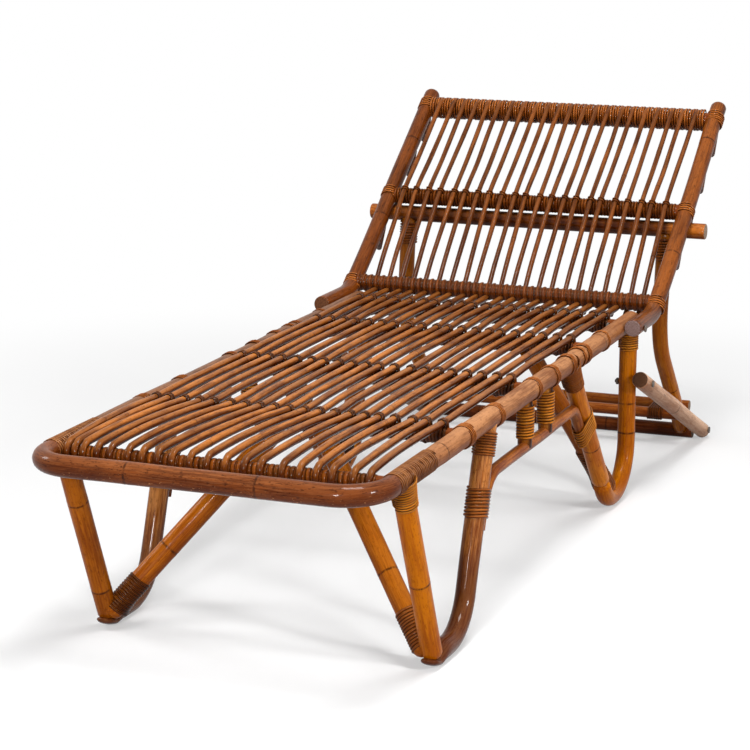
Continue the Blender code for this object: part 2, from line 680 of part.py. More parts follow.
side_step = PROP_R + PROP_BAR_R + CLEAR
pair_half = prop_x + PROP_BAR_PAST
for spot, up, face in (("front", PROP_BAR_FRONT_UP, 1.0), ("back", PROP_BAR_BACK_UP, -1.0)):
    middle = leg_end - fall * up + under * (face * side_step)
    path = [middle - X_AXIS * pair_half, middle + X_AXIS * pair_half]
    add_pole("prop_bar_" + spot, path, PROP_BAR_R, Z_AXIS, DARK, prop_pivot, arm_low)

# Bolts at the hinge, the arm pivots and the floor bar, with their bores
for half, mark in HALVES:
    inner = mark * (RAIL_HALF - RAIL_R - CLEAR)
    outer = mark * (stile_x + STILE_R + CLEAR)
    place = (HINGE_Y, HINGE_Z)
    add_bolt("hinge_bolt_" + half, place, outer, inner, inner - mark * (NUT_H + BOLT_PAST), root, (0, 0, 0))
    reach = (mark * (RAIL_HALF - 2.0 * RAIL_R), HINGE_Y, HINGE_Z)
    past = (mark * (stile_x + 2.0 * STILE_R), HINGE_Y, HINGE_Z)
    bore(rails[half], reach, past)
    bore(stiles[half], reach, past, hinge)
    inner = mark * (RAIL_HALF - LEG_R - CLEAR)
    outer = mark * (arm_x + ARM_R + CLEAR)
    place = (arm_pivot.y, arm_pivot.z)
    add_bolt("arm_bolt_" + half, place, outer, inner, inner - mark * (NUT_H + BOLT_PAST), root, (0, 0, 0))
    leg = bpy.data.objects["leg_bend_rear_" + half]
    reach = (mark * (RAIL_HALF - 2.0 * LEG_R), arm_pivot.y, arm_pivot.z)
    past = (mark * (arm_x + 2.0 * ARM_R), arm_pivot.y, arm_pivot.z)
    bore(leg, reach, past)
    bore(arms[half], reach, past, arm_pivot)
    place = (arm_low.y, arm_low.z)
    add_bolt("floor_bolt_" + half, place, outer, None, mark * (bar_half - SCREW_DEPTH), arms_pivot, arm_pivot)
    reach = (mark * (bar_half - SCREW_DEPTH - 3.0 * CLEAR), arm_low.y, arm_low.z)
    past = (mark * (arm_x + 2.0 * ARM_R), arm_low.y, arm_low.z)
    bore(arms[half], reach, past, arm_pivot)
    bore(floor_piece, reach, past, arm_low)

# The whole piece is centred over the origin along its length
bpy.context.view_layer.update()
lengths = []
for piece in pieces:
    for spot in piece.bound_box:
        lengths.append((piece.matrix_world @ Vector(spot)).y)
root.location.y = -(min(lengths) + max(lengths)) / 2.0
bpy.context.view_layer.update()
print("pieces %d, length %.4f m, hinge at y %.4f" % (len(pieces), max(lengths) - min(lengths),
                                                      HINGE_Y + root.location.y))
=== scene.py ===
# Rattan chaise longue: bent poles, mats of thin rods and peel bindings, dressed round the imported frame
import json
import math
import random

import bmesh
import bpy
from mathutils import Matrix, Vector


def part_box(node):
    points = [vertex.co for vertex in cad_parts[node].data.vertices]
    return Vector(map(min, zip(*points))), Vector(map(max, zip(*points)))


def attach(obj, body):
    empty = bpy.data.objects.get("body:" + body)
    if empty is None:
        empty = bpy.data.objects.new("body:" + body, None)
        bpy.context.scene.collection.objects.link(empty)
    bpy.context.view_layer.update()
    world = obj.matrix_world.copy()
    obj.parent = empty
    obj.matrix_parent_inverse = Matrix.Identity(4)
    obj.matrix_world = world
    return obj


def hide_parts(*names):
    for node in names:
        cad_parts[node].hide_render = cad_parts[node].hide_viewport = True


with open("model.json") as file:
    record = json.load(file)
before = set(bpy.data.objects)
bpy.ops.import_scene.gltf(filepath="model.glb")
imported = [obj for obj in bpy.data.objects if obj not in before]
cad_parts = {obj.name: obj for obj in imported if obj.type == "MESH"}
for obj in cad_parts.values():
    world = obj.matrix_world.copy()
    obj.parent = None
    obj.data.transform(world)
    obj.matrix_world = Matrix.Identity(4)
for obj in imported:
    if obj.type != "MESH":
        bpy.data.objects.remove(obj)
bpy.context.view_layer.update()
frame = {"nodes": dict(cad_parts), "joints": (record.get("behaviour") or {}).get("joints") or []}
scene = bpy.context.scene
joints = {joint["name"]: Vector(joint["pos_m"]) for joint in frame["joints"]}
sideways = Vector((1, 0, 0))
forward = Vector((0, 1, 0))
upright = Vector((0, 0, 1))
hingeAlong = 1.254      # the back's hinge, counted along the seat as every length below
footLine = joints["backrest_raise"].y - hingeAlong
halves = {"left": -1, "right": 1}
print("frame loaded,", len(frame["nodes"]), "nodes")


def spot(x, y, z):
    return Vector((x, y + footLine, z))


def middle(node):
    low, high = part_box(node)
    return (low + high) / 2


# shader sockets with operators
class Wire:
    def __init__(self, tree, socket=None):
        self.tree = tree
        self.socket = socket

    def node(self, kind, settings=None, inputs=None, out=0):
        made = self.tree.nodes.new(kind)
        for key, value in (settings or {}).items():
            setattr(made, key, value)
        for key, value in (inputs or {}).items():
            if isinstance(value, Wire):
                self.tree.links.new(value.socket, made.inputs[key])
            else:
                made.inputs[key].default_value = value
        return Wire(self.tree, made.outputs[out] if made.outputs else None)

    def math(self, operation, other, swap=False):
        pair = (other, self) if swap else (self, other)
        return self.node("ShaderNodeMath", {"operation": operation}, {0: pair[0], 1: pair[1]})

    def __add__(self, other):
        return self.math("ADD", other)

    def __radd__(self, other):
        return self.math("ADD", other, True)

    def __sub__(self, other):
        return self.math("SUBTRACT", other)

    def __rsub__(self, other):
        return self.math("SUBTRACT", other, True)

    def __mul__(self, other):
        return self.math("MULTIPLY", other)

    def __rmul__(self, other):
        return self.math("MULTIPLY", other, True)

    def between(self, low, high):
        settings = {"interpolation_type": "SMOOTHSTEP"}
        return self.node("ShaderNodeMapRange", settings, {"Value": self, "From Min": low, "From Max": high})

    def tint(self, first, second):
        settings = {"data_type": "RGBA", "clamp_result": True}
        return self.node("ShaderNodeMix", settings, {0: self, 6: first, 7: second}, 2)

    def stretched(self, x, y, z):
        return self.node("ShaderNodeVectorMath", {"operation": "MULTIPLY"}, {0: self, 1: (x, y, z)})

    def noise(self, scale, detail, rough):
        return self.node("ShaderNodeTexNoise", None,
                         {"Vector": self, "Scale": scale, "Detail": detail, "Roughness": rough})


def paint(red, green, blue):
    def linear(value):
        value = value / 255
        return value / 12.92 if value <= 0.04045 else ((value + 0.055) / 1.055) ** 2.4
    return (linear(red), linear(green), linear(blue), 1.0)


def freshMaterial(name):
    material = bpy.data.materials.new(name)
    material.use_nodes = True
    tree = material.node_tree
    tree.nodes.clear()
    return material, Wire(tree)


# patterns of the cane: stretch along the pole, scale, detail and roughness of the noise
grainSize = {
    "streak": (0.045, 300, 3.0, 0.6), "fibre": (0.02, 1300, 2.0, 0.6), "blotch": (0.35, 26, 3.0, 0.6),
    "dirt": (0.5, 150, 4.0, 0.7), "speck": (0.3, 380, 3.0, 0.65), "fleck": (0.5, 420, 2.0, 0.6),
    "pores": (0.0, 520, 3.0, 0.7),
}
# where each mark of the skin begins and is full
skinSpan = {
    "fibre": (0.45, 0.72), "top": (0.05, 0.95), "worn": (0.32, 0.62), "scuff": (0.54, 0.70),
    "speck": (0.55, 0.67), "fleck": (0.66, 0.72), "ring": (0.15, 0.85), "ringDirt": (0.30, 0.58),
    "seamShade": (0.35, 1.0), "pores": (0.35, 0.66), "cut": (0.3, 0.7),
}


# one skin for every cane: streaks along the pole, blotches, worn tops, dark joints and cut ends, with painted
# shade on the undersides, in zones and in the seams of the peel
def caneSkin(name, look):
    material, make = freshMaterial(name)
    grain = make.node("ShaderNodeAttribute", {"attribute_name": "grain"}, None, 1)
    tone, mark, cut, edge = [make.node("ShaderNodeAttribute", {"attribute_name": key}, None, 2)
                             for key in ("tone", "mark", "cut", "edge")]
    facing = make.node("ShaderNodeTexCoord", None, None, 1)
    upward = make.node("ShaderNodeSeparateXYZ", None, {0: facing}, 2)
    patterns = {}
    for key, (stretch, scale, detail, rough) in grainSize.items():
        patterns[key] = grain.stretched(1, 1, stretch).noise(scale, detail, rough)
    streak, fibre, blotch, dirt = [patterns[key] for key in ("streak", "fibre", "blotch", "dirt")]
    body = (streak * 0.5 + blotch * 0.5).between(0.5 - look["contrast"], 0.5 + look["contrast"])
    colour = body.tint(look["dark"], look["light"])
    colour = (tone.between(0.0, 1.0) * look["toneSpread"]).tint(colour, look["toneColour"])
    colour = (fibre.between(*skinSpan["fibre"]) * look["fibres"]).tint(colour, look["pale"])
    worn = (blotch * 0.6 + streak * 0.5).between(*skinSpan["worn"])
    worn = upward.between(*skinSpan["top"]) * worn
    colour = (worn * look["wear"]).tint(colour, look["pale"])
    scuff = (dirt * 0.7 + streak * 0.3).between(*skinSpan["scuff"])
    colour = (scuff * look["scuffs"]).tint(colour, look["scuffColour"])
    speck = patterns["speck"].between(*skinSpan["speck"])
    colour = (speck * look["specks"]).tint(colour, look["scuffColour"])
    # painted shade: sides that face down are darkened towards the shade colour
    below = (0 - upward).between(*look["underSpan"])
    colour = (below * look["under"]).tint(colour, look["shade"])
    # painted shade: each zone darkens the part towards the shade colour along one axis
    for axis, start, full, share in look["shadeZones"]:
        place = make.node("ShaderNodeTexCoord", None, None, 3)
        if axis == 0:       # both sides alike
            place = make.node("ShaderNodeVectorMath", {"operation": "ABSOLUTE"}, {0: place})
        where = make.node("ShaderNodeSeparateXYZ", None, {0: place}, axis)
        colour = (where.between(start, full) * share).tint(colour, look["shade"])
    fleck = patterns["fleck"].between(*skinSpan["fleck"]) * below
    colour = (fleck * look["flecks"]).tint(colour, look["pale"])
    ring = mark.between(*skinSpan["ring"]) * dirt.between(*skinSpan["ringDirt"])
    colour = (ring * 0.8).tint(colour, look["joint"])
    # painted shade in the grooves between strands of peel, in the joint colour
    seamShade = edge.between(*skinSpan["seamShade"]) * look["seamShadeShare"]
    colour = seamShade.tint(colour, look["joint"])
    endGrain = patterns["pores"].between(*skinSpan["pores"]).tint(look["endDark"], look["endPale"])
    colour = cut.between(*skinSpan["cut"]).tint(colour, endGrain)
    rough = look["rough"] + streak * 0.12 + worn * look["wear"] * 0.3 + cut * 0.25
    height = streak * 0.4 + fibre * 0.2 + dirt * 0.4
    bump = make.node("ShaderNodeBump", None,
                     {"Strength": look["relief"], "Distance": look["reliefDepth"], "Height": height})
    shader = make.node("ShaderNodeBsdfPrincipled", None, {
        "Base Color": colour, "Roughness": rough, "Coat Weight": look["coat"],
        "Coat Roughness": look["coatRough"], "Specular IOR Level": look["shine"], "Normal": bump})
    make.node("ShaderNodeOutputMaterial", None, {0: shader})
    return material


baseLook = {
    "dark": paint(100, 40, 0), "light": paint(170, 94, 26), "pale": paint(200, 136, 76),
    "toneColour": paint(112, 48, 2), "toneSpread": 0.4, "contrast": 0.11, "fibres": 0.22, "wear": 0.15,
    "scuffs": 0.65, "scuffColour": paint(66, 22, 0), "under": 0.5, "shade": paint(70, 24, 0),
    "flecks": 0.0, "seamShadeShare": 0.0, "joint": paint(42, 16, 2), "endDark": paint(84, 60, 44),
    "endPale": paint(176, 146, 118), "rough": 0.25, "coat": 0.1, "coatRough": 0.07, "shine": 0.03,
    "relief": 0.55, "reliefDepth": 0.0008, "specks": 0.45,
    "underSpan": (-0.4, 0.7), "shadeZones": (),      # painted shade: zones grow darker along an axis: axis, start, full, share
}
peelLook = dict(baseLook, dark=paint(78, 26, 0), light=paint(136, 68, 12), pale=paint(178, 108, 46),
                toneColour=paint(40, 12, 0), toneSpread=0.8, seamShadeShare=0.9, joint=paint(26, 8, 0), contrast=0.18)
propLook = dict(baseLook, dark=paint(112, 44, 0), light=paint(178, 98, 26), pale=paint(206, 140, 84))
# the under shares and zones of these looks are painted shade where a part lies in shade
looks = {
    "loop": dict(baseLook, dark=paint(66, 22, 0), light=paint(118, 57, 16), pale=paint(188, 126, 78),
                 contrast=0.09, scuffs=0.8, scuffColour=paint(46, 15, 0), specks=0.8, flecks=1.0, coat=0.18,
                 shadeZones=((0, 0.05, 0.28, 0.35),)),
    "rail": dict(baseLook, dark=paint(104, 54, 20), light=paint(170, 112, 66), pale=paint(204, 152, 110),
                 toneColour=paint(124, 66, 26), toneSpread=0.55, wear=0.38, under=0.8,
                 shade=paint(106, 48, 8), scuffs=0.7, scuffColour=paint(96, 48, 18), contrast=0.09,
                 coat=0.05, rough=0.34,
                 shadeZones=((1, 0.05, 0.35, 0.40), (1, -0.45, -0.72, 0.25))),
    # a darker copy of the rail for the left side: painted shade
    "railLeftShaded": dict(baseLook, dark=paint(56, 21, 2), light=paint(102, 55, 22), pale=paint(190, 140, 102),
                     toneColour=paint(76, 34, 8), wear=0.22, under=0.8, shade=paint(84, 34, 2), coat=0.06),
    "post": dict(baseLook, dark=paint(148, 70, 0), light=paint(198, 112, 0), pale=paint(222, 142, 26),
                 toneColour=paint(150, 74, 0), scuffColour=paint(104, 46, 0), shade=paint(130, 58, 0),
                 under=0.35),
    # a lighter copy of the right post for the rear right post, which stands in shade: painted light
    "postRearLit": dict(baseLook, dark=paint(168, 84, 4), light=paint(224, 136, 26), pale=paint(236, 160, 60),
                     toneColour=paint(160, 82, 4), scuffColour=paint(112, 50, 0), shade=paint(140, 64, 2),
                     under=0.35),
    "brace": dict(baseLook, dark=paint(142, 66, 2), light=paint(200, 110, 10), pale=paint(216, 140, 48),
                  toneColour=paint(108, 46, 0), toneSpread=0.6, scuffColour=paint(88, 36, 0),
                  shade=paint(104, 44, 0), under=0.4),
    "bent": dict(baseLook, dark=paint(120, 52, 2), light=paint(232, 150, 72), pale=paint(236, 178, 120),
                 shadeZones=((2, 0.23, 0.07, 0.86),), coat=0.22, rough=0.2),
    "bar": dict(baseLook, dark=paint(68, 20, 0), light=paint(116, 52, 12), pale=paint(164, 100, 54)),
    "rod": dict(baseLook, dark=paint(84, 33, 0), light=paint(168, 91, 24), pale=paint(208, 140, 74),
                toneColour=paint(80, 29, 0), toneSpread=0.75, wear=0.3, under=0.95, shade=paint(54, 15, 0),
                underSpan=(-0.85, 0.35), coat=0.14, rough=0.2,
                shadeZones=((1, -0.15, 0.45, 0.42), (1, -0.77, -0.85, 0.42))),
    "backRod": dict(baseLook, dark=paint(54, 17, 0), light=paint(119, 58, 13), pale=paint(180, 118, 64),
                    toneColour=paint(62, 20, 0), toneSpread=0.65, under=0.75, shade=paint(52, 15, 0),
                    shadeZones=((2, 0.52, 0.36, 0.45),), coat=0.18),
    "stile": dict(baseLook, dark=paint(56, 18, 0), light=paint(124, 60, 8), pale=paint(180, 116, 64),
                  scuffs=0.8, scuffColour=paint(44, 13, 0), coat=0.18,
                  endPale=paint(140, 116, 110), endDark=paint(72, 50, 46)),
    # a darker copy of the stile for the left side: painted shade
    "stileLeftShaded": dict(baseLook, dark=paint(42, 11, 0), light=paint(102, 46, 7), pale=paint(160, 98, 52),
                      scuffs=0.8, scuffColour=paint(36, 10, 0), coat=0.18,
                      endPale=paint(116, 70, 40), endDark=paint(58, 30, 16)),
    "prop": propLook,
    "propRod": dict(propLook, shade=paint(58, 18, 0), shadeZones=((0, 0.288, 0.262, 0.75),), coat=0.2),
    # a lighter copy of the post colours for the prop legs, painted light, with painted shade on their upper
    # part
    "propLegLitAndShaded": dict(baseLook, dark=paint(160, 80, 4), light=paint(218, 130, 26), pale=paint(232, 156, 60),
                    toneColour=paint(156, 80, 4), scuffColour=paint(108, 48, 0), shade=paint(66, 24, 2),
                    under=0.25, shadeZones=((2, 0.20, 0.36, 0.75),)),
    "peel": peelLook,
    # a darker copy of the peel: painted shade on the seat's ties behind the front bar and on the back's
    # bottom bar
    "shadedPeel": dict(peelLook, dark=paint(62, 20, 0), light=paint(122, 59, 12), pale=paint(164, 98, 44),
                     toneColour=paint(22, 6, 0), toneSpread=0.9, coat=0.2),
    "wrap": dict(peelLook, dark=paint(104, 42, 0), light=paint(172, 94, 30), pale=paint(208, 140, 80),
                 toneColour=paint(76, 28, 0), toneSpread=0.5, joint=paint(36, 11, 0)),
    "golden": dict(peelLook, dark=paint(160, 78, 0), light=paint(226, 140, 34), pale=paint(240, 180, 98),
                   toneColour=paint(110, 48, 0), toneSpread=0.5, joint=paint(50, 17, 0), seamShadeShare=1.0),
    "wornPeel": dict(peelLook, dark=paint(88, 42, 12), light=paint(150, 92, 48), pale=paint(184, 128, 82),
                     toneColour=paint(80, 36, 8), wear=0.35, joint=paint(48, 18, 2), coat=0.08, rough=0.3),
    # the arm's own pale tan, raised further as painted light for the dim place where it stands
    "arm": dict(baseLook, dark=paint(186, 132, 94), light=paint(244, 198, 162), pale=paint(236, 198, 170),
                wear=0.4, under=0.6, shade=paint(112, 62, 28), endPale=paint(96, 64, 44),
                endDark=paint(44, 26, 16), rough=0.4),
}
skins = {name: caneSkin("cane_" + name, look) for name, look in looks.items()}
print("cane skins made,", len(skins))

steelLook = {"dark": paint(48, 42, 38), "light": paint(122, 114, 106), "rust": paint(96, 54, 28),
             "grime": (420, 4.0, 0.65), "spots": (170, 3.0, 0.6), "grimeSpan": (0.3, 0.7),
             "spotSpan": (0.52, 0.66), "rustShare": 0.7, "rustDull": 0.75, "rough": 0.36, "relief": 0.3,
             "reliefDepth": 0.0004}


def steelSkin(look):
    material, make = freshMaterial("worn_bolt_steel")
    place = make.node("ShaderNodeTexCoord", None, None, 3)
    grime = place.noise(*look["grime"])
    rust = place.noise(*look["spots"]).between(*look["spotSpan"])
    colour = grime.between(*look["grimeSpan"]).tint(look["dark"], look["light"])
    colour = (rust * look["rustShare"]).tint(colour, look["rust"])
    bump = make.node("ShaderNodeBump", None,
                     {"Strength": look["relief"], "Distance": look["reliefDepth"], "Height": grime})
    shader = make.node("ShaderNodeBsdfPrincipled", None, {
        "Base Color": colour, "Metallic": 1 - rust * look["rustDull"],
        "Roughness": look["rough"] + grime * 0.3, "Normal": bump})
    make.node("ShaderNodeOutputMaterial", None, {0: shader})
    return material


boltSteel = steelSkin(steelLook)


# one ring of a tube: its place, its two half widths and what the skin reads there
class Station:
    def __init__(self, at, ahead, up, wide, deep, along, mark=0.0, cut=0.0, tone=0.0):
        self.at = at
        self.ahead = ahead
        self.up = up
        self.wide = wide
        self.deep = deep
        self.along = along
        self.mark = mark
        self.cut = cut
        self.tone = tone

    def place(self):
        ahead = self.ahead.normalized()
        side = self.up.cross(ahead).normalized()
        up = ahead.cross(side)
        turned = Matrix((side * self.wide, up * self.deep, ahead)).transposed()
        return Matrix.Translation(self.at) @ turned.to_4x4()


skinLayers = ("tone", "mark", "cut", "edge")


def freshMesh():
    bm = bmesh.new()
    bm.verts.layers.float_vector.new("grain")
    for name in skinLayers:
        bm.verts.layers.float.new(name)
    return bm


class Piece:
    def __init__(self):
        self.bm = freshMesh()

    def take(self, bm):
        bmesh.ops.recalc_face_normals(bm, faces=bm.faces)
        hold = bpy.data.meshes.new("hold")
        bm.to_mesh(hold)
        bm.free()
        self.bm.from_mesh(hold)
        bpy.data.meshes.remove(hold)

    def tube(self, stations, sides, tone, closed=False):
        bm = freshMesh()
        grain = bm.verts.layers.float_vector["grain"]
        layers = [bm.verts.layers.float[name] for name in skinLayers]
        ring = bmesh.ops.create_circle(bm, segments=sides, radius=1.0)["verts"]
        unit = [vert.co.copy() for vert in ring]
        edges = list(bm.edges)
        firstEdges = edges
        for number, station in enumerate(stations):
            if number:
                grown = bmesh.ops.extrude_edge_only(bm, edges=edges)["geom"]
                ring = [item for item in grown if isinstance(item, bmesh.types.BMVert)]
                edges = [item for item in grown if isinstance(item, bmesh.types.BMEdge)]
            place = station.place()
            for vert, rim in zip(ring, unit):
                vert.co = place @ rim
                vert[grain] = (rim.x * station.wide, rim.y * station.deep, station.along)
                values = (tone + station.tone, station.mark, station.cut, abs(rim.x))
                for layer, value in zip(layers, values):
                    vert[layer] = value
        if closed:
            bmesh.ops.bridge_loops(bm, edges=firstEdges + edges)
        for face in bm.faces:
            face.smooth = True
        if not closed:
            bmesh.ops.edgeloop_fill(bm, edges=firstEdges)
            bmesh.ops.edgeloop_fill(bm, edges=edges)
        self.take(bm)

    def finish(self, name, body, skin, slot, *nodes):
        mesh = bpy.data.meshes.new(name)
        self.bm.to_mesh(mesh)
        self.bm.free()
        piece = bpy.data.objects.new(name, mesh)
        scene.collection.objects.link(piece)
        mesh.materials.append(skin)
        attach(piece, body)
        if nodes:
            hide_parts(*nodes)


# a path is a dense list of points with its running lengths; ahead is how far a heading looks both ways
pathShape = {"ahead": 0.004, "bendStep": 0.07, "smoothSteps": 8}


class Path:
    def __init__(self, points):
        self.points = points
        self.lengths = [0.0]
        for first, second in zip(points, points[1:]):
            self.lengths.append(self.lengths[-1] + (second - first).length)
        self.total = self.lengths[-1]

    def at(self, along):
        along = min(max(along, 0.0), self.total)
        low, high = 0, len(self.lengths) - 1
        while high - low > 1:
            half = (low + high) // 2
            if self.lengths[half] <= along:
                low = half
            else:
                high = half
        span = self.lengths[high] - self.lengths[low]
        share = (along - self.lengths[low]) / span if span else 0.0
        return self.points[low].lerp(self.points[high], share)

    def heading(self, along):
        ahead = pathShape["ahead"]
        return (self.at(along + ahead) - self.at(along - ahead)).normalized()

    def nearest(self, point):
        return min(self.points, key=lambda other: (other - point).length)


def bentPath(corners, bends=()):
    points = [corners[0]]
    for number, bend in enumerate(bends):
        before, corner, after = corners[number:number + 3]
        inward = (before - corner).normalized()
        onward = (after - corner).normalized()
        turn = math.pi - inward.angle(onward)
        reach = bend * math.tan(turn / 2)
        centre = corner + (inward + onward).normalized() * (bend / math.cos(turn / 2))
        start = corner + inward * reach - centre
        axis = inward.cross(onward).normalized()
        steps = max(3, int(turn / pathShape["bendStep"]))
        for step in range(steps + 1):
            points.append(centre + Matrix.Rotation(-turn * step / steps, 3, axis) @ start)
    points.append(corners[-1])
    return Path(points)


def smoothPath(controls):
    steps = pathShape["smoothSteps"]
    last = len(controls) - 1
    points = []
    for number in range(last):
        a, b, c, d = [controls[min(max(number + shift, 0), last)] for shift in (-1, 0, 1, 2)]
        for step in range(steps):
            share = step / steps
            square = share * share
            points.append(0.5 * (2 * b + (c - a) * share + (2 * a - 5 * b + 4 * c - d) * square
                                 + (3 * b - a - 3 * c + d) * square * share))
    points.append(controls[-1])
    return Path(points)


poleShape = {"sides": 24, "step": 0.011, "lumps": 0.008, "ridge": 0.020, "ridgeWide": 0.0070, "groove": 0.022,
             "grooveWide": 0.0015, "markWide": 0.0021, "rim": 0.0022, "dome": 0.8, "swayFade": 0.06,
             "shades": (-0.15, 0.45), "ringClear": 0.013, "least": 0.0006, "waves": ((0.7, 21), (0.4, 57)),
             "drifts": ((1.0, 9), (0.5, 23)), "lifts": ((1.0, 8), (0.5, 19)),
             "ringGaps": (-0.012, -0.008, -0.005, -0.003, -0.0015, 0.0, 0.0015, 0.003, 0.005, 0.008, 0.012)}


# how a pole ends: rows of inset, scale and bare cut, from the tip inward
def endRows(kind, radius):
    rim = poleShape["rim"]
    if kind == "cut":
        return [(0.0, 0.30, 1.0), (0.0, 0.86, 1.0), (0.0003, 0.95, 0.6), (rim / 2, 0.985, 0.0),
                (rim, 1.0, 0.0)]
    if kind == "dome":
        height = radius * poleShape["dome"]
        angles = [math.radians(angle) for angle in (84, 66, 48, 30, 15)]
        return [(height * (1 - math.sin(angle)), math.cos(angle), 0.0) for angle in angles]
    return [(0.0, 1.0, 0.0)]


def ripple(along, waves, phases):
    return sum(size * math.sin(along * pace + phase) for (size, pace), phase in zip(waves, phases))


# a cane along a path: rings are its nodes, taper flattens it, sway bends it, and the seed fixes its chance
def growPole(piece, path, radius, side, rings, ends, seed, tone=0.4, taper=None, sway=0.0):
    shape = poleShape
    chance = random.Random(seed)
    phases = [chance.uniform(0, 6.28) for _ in range(6)]
    start = chance.uniform(0, 5)
    rows = endRows(ends[0], radius)
    tail = [(path.total - inset, scale, cut) for inset, scale, cut in reversed(endRows(ends[1], radius))]
    count = max(2, round(path.total / shape["step"]))
    places = [path.total * step / count for step in range(count + 1)]
    for ring in rings:
        places = [place for place in places if abs(place - ring) > shape["ringClear"]]
        places += [ring + gap for gap in shape["ringGaps"]]
    first, last = rows[-1][0] + shape["least"], tail[0][0] - shape["least"]
    rows += [(place, 1.0, 0.0) for place in sorted(places) if first < place < last] + tail
    stations = []
    shades = [chance.uniform(*shape["shades"]) for _ in range(len(rings) + 1)]    # one between each two rings
    for along, scale, cut in rows:
        around = 1 + shape["lumps"] * ripple(along, shape["waves"], phases[:2])
        shade = shades[sum(along > ring for ring in rings)]
        mark = 0.0
        for ring in rings:
            off = along - ring
            around += shape["ridge"] * math.exp(-(off / shape["ridgeWide"]) ** 2)
            around -= shape["groove"] * math.exp(-(off / shape["grooveWide"]) ** 2)
            mark = max(mark, math.exp(-(off / shape["markWide"]) ** 2))
        thick = radius * around * scale
        flat, narrow = taper(along) if taper else (1.0, 1.0)
        ahead = path.heading(along)
        up = ahead.cross(side)
        fade = sway * min(1.0, along / shape["swayFade"], (path.total - along) / shape["swayFade"])
        drift = fade * ripple(along, shape["drifts"], phases[2:4])
        lift = fade * ripple(along, shape["lifts"], phases[4:])
        at = path.at(along) + side * drift + up * lift
        stations.append(Station(at, ahead, up, thick * narrow, thick * flat, along + start, mark, cut, shade))
    piece.tube(stations, shape["sides"], tone)


# a strand of peel through points, flat side out
def layStrand(piece, points, outs, weave, tone, closed=False, start=0.0):
    stations = []
    along = start
    count = len(points)
    for number, point in enumerate(points):
        if closed:
            ahead = points[(number + 1) % count] - points[number - 1]
        else:
            ahead = points[min(number + 1, count - 1)] - points[max(number - 1, 0)]
        if number:
            along += (point - points[number - 1]).length
        fromEnd = min(number, count - 1 - number)
        trim = 1.0 if closed else min(1.0, weave["tip"] + fromEnd * weave["tipStep"])
        wide, deep = weave["width"] / 2 * trim, weave["thick"] / 2 * trim
        stations.append(Station(point, ahead, outs[number], wide, deep, along))
    piece.tube(stations, weave["sides"], tone, closed)


# kinds of peel winding; sit is how far the strand's middle stands off the pole, in thicknesses, and sunk how
# much lower each dark turn lies
flatWeave = {"pitch": 0.0062, "width": 0.0061, "thick": 0.0024, "sit": 0.05, "steps": 16, "sides": 6,
             "chunk": 3, "tone": 0.35, "spread": 0.25, "darkEach": 1000, "sunk": 0.0, "wobble": 0.06,
             "wobblePace": 5.1, "tip": 0.5, "tipStep": 0.4}
weaves = {
    "corner": flatWeave,
    "ring": dict(flatWeave, pitch=0.0056, width=0.0050, thick=0.0036, sit=0.25, tone=0.2),
    "leg": dict(flatWeave, pitch=0.0044, width=0.0040, thick=0.0040, sit=0.28, spread=0.4, chunk=1),
    "fine": dict(flatWeave, pitch=0.0045, width=0.0041, thick=0.0040, sit=0.3, spread=0.4, chunk=1),
    "joint": dict(flatWeave, pitch=0.0054, width=0.0050, thick=0.0044, sit=0.25, steps=20, tone=0.2),
    "goldenJoint": dict(flatWeave, pitch=0.0066, width=0.0056, thick=0.0050, sit=0.25, steps=20, tone=0.2),
    "brace": dict(flatWeave, pitch=0.0050, width=0.0049, thick=0.0040, sit=0.20, steps=18, tone=0.95,
                  spread=0.1),
    "spindle": dict(flatWeave, pitch=0.0066, width=0.0065, thick=0.0044, sit=0.35, steps=18, tone=0.3),
    "bar": dict(flatWeave, pitch=0.0060, width=0.0060, thick=0.0024, sit=0.15, steps=10, sides=5, chunk=1,
                tone=0.55, spread=0.45),
    "wide": dict(flatWeave, pitch=0.0085, width=0.0088, thick=0.0024, sit=0.15, steps=12, sides=6, chunk=1,
                 tone=0.35, spread=0.6),
    "lace": dict(flatWeave, pitch=0.0052, width=0.0048, thick=0.0036, sit=0.25, steps=14, sides=6, chunk=1,
                 tone=0.10, spread=0.20, darkEach=3, sunk=0.35),
    "pairs": dict(flatWeave, pitch=0.0064, width=0.0062, thick=0.0036, sit=0.25, steps=14, sides=6, chunk=1,
                  tone=0.10, spread=0.30, darkEach=2, sunk=0.5),
    "tie": dict(flatWeave, width=0.0042, thick=0.0034, sit=0.35, sides=5),
}


# turns of peel round one circle or the hull of two; circles may be a rule of the share wound so far
def windPeel(piece, start, axis, circles, turns, weave, seed, lean=0.0):
    chance = random.Random(seed)
    axis = axis.normalized()
    first = axis.orthogonal().normalized()
    second = axis.cross(first)
    made = 0
    while made < turns:
        chunk = min(weave["chunk"], turns - made)
        dark = made % weave["darkEach"] == weave["darkEach"] - 1
        points, outs = [], []
        for step in range(chunk * weave["steps"] + 1):
            turn = made + step / weave["steps"]
            angle = 2 * math.pi * turn
            out = first * math.cos(angle) + second * math.sin(angle)
            hull = circles(turn / turns) if callable(circles) else circles
            centre, radius = max(hull, key=lambda circle: circle[0].dot(out) + circle[1])
            wobble = weave["wobble"] * weave["pitch"] * math.sin(turn * weave["wobblePace"] + seed)
            wobble += lean * math.cos(angle)
            away = radius + weave["thick"] * (weave["sit"] - weave["sunk"] * dark)
            points.append(start + axis * (turn * weave["pitch"] + wobble) + centre + out * away)
            outs.append(out)
        tone = weave["tone"] + chance.uniform(-1, 1) * weave["spread"]
        layStrand(piece, points, outs, weave, 1.0 if dark else tone, False, chance.uniform(0, 9))
        made += chunk


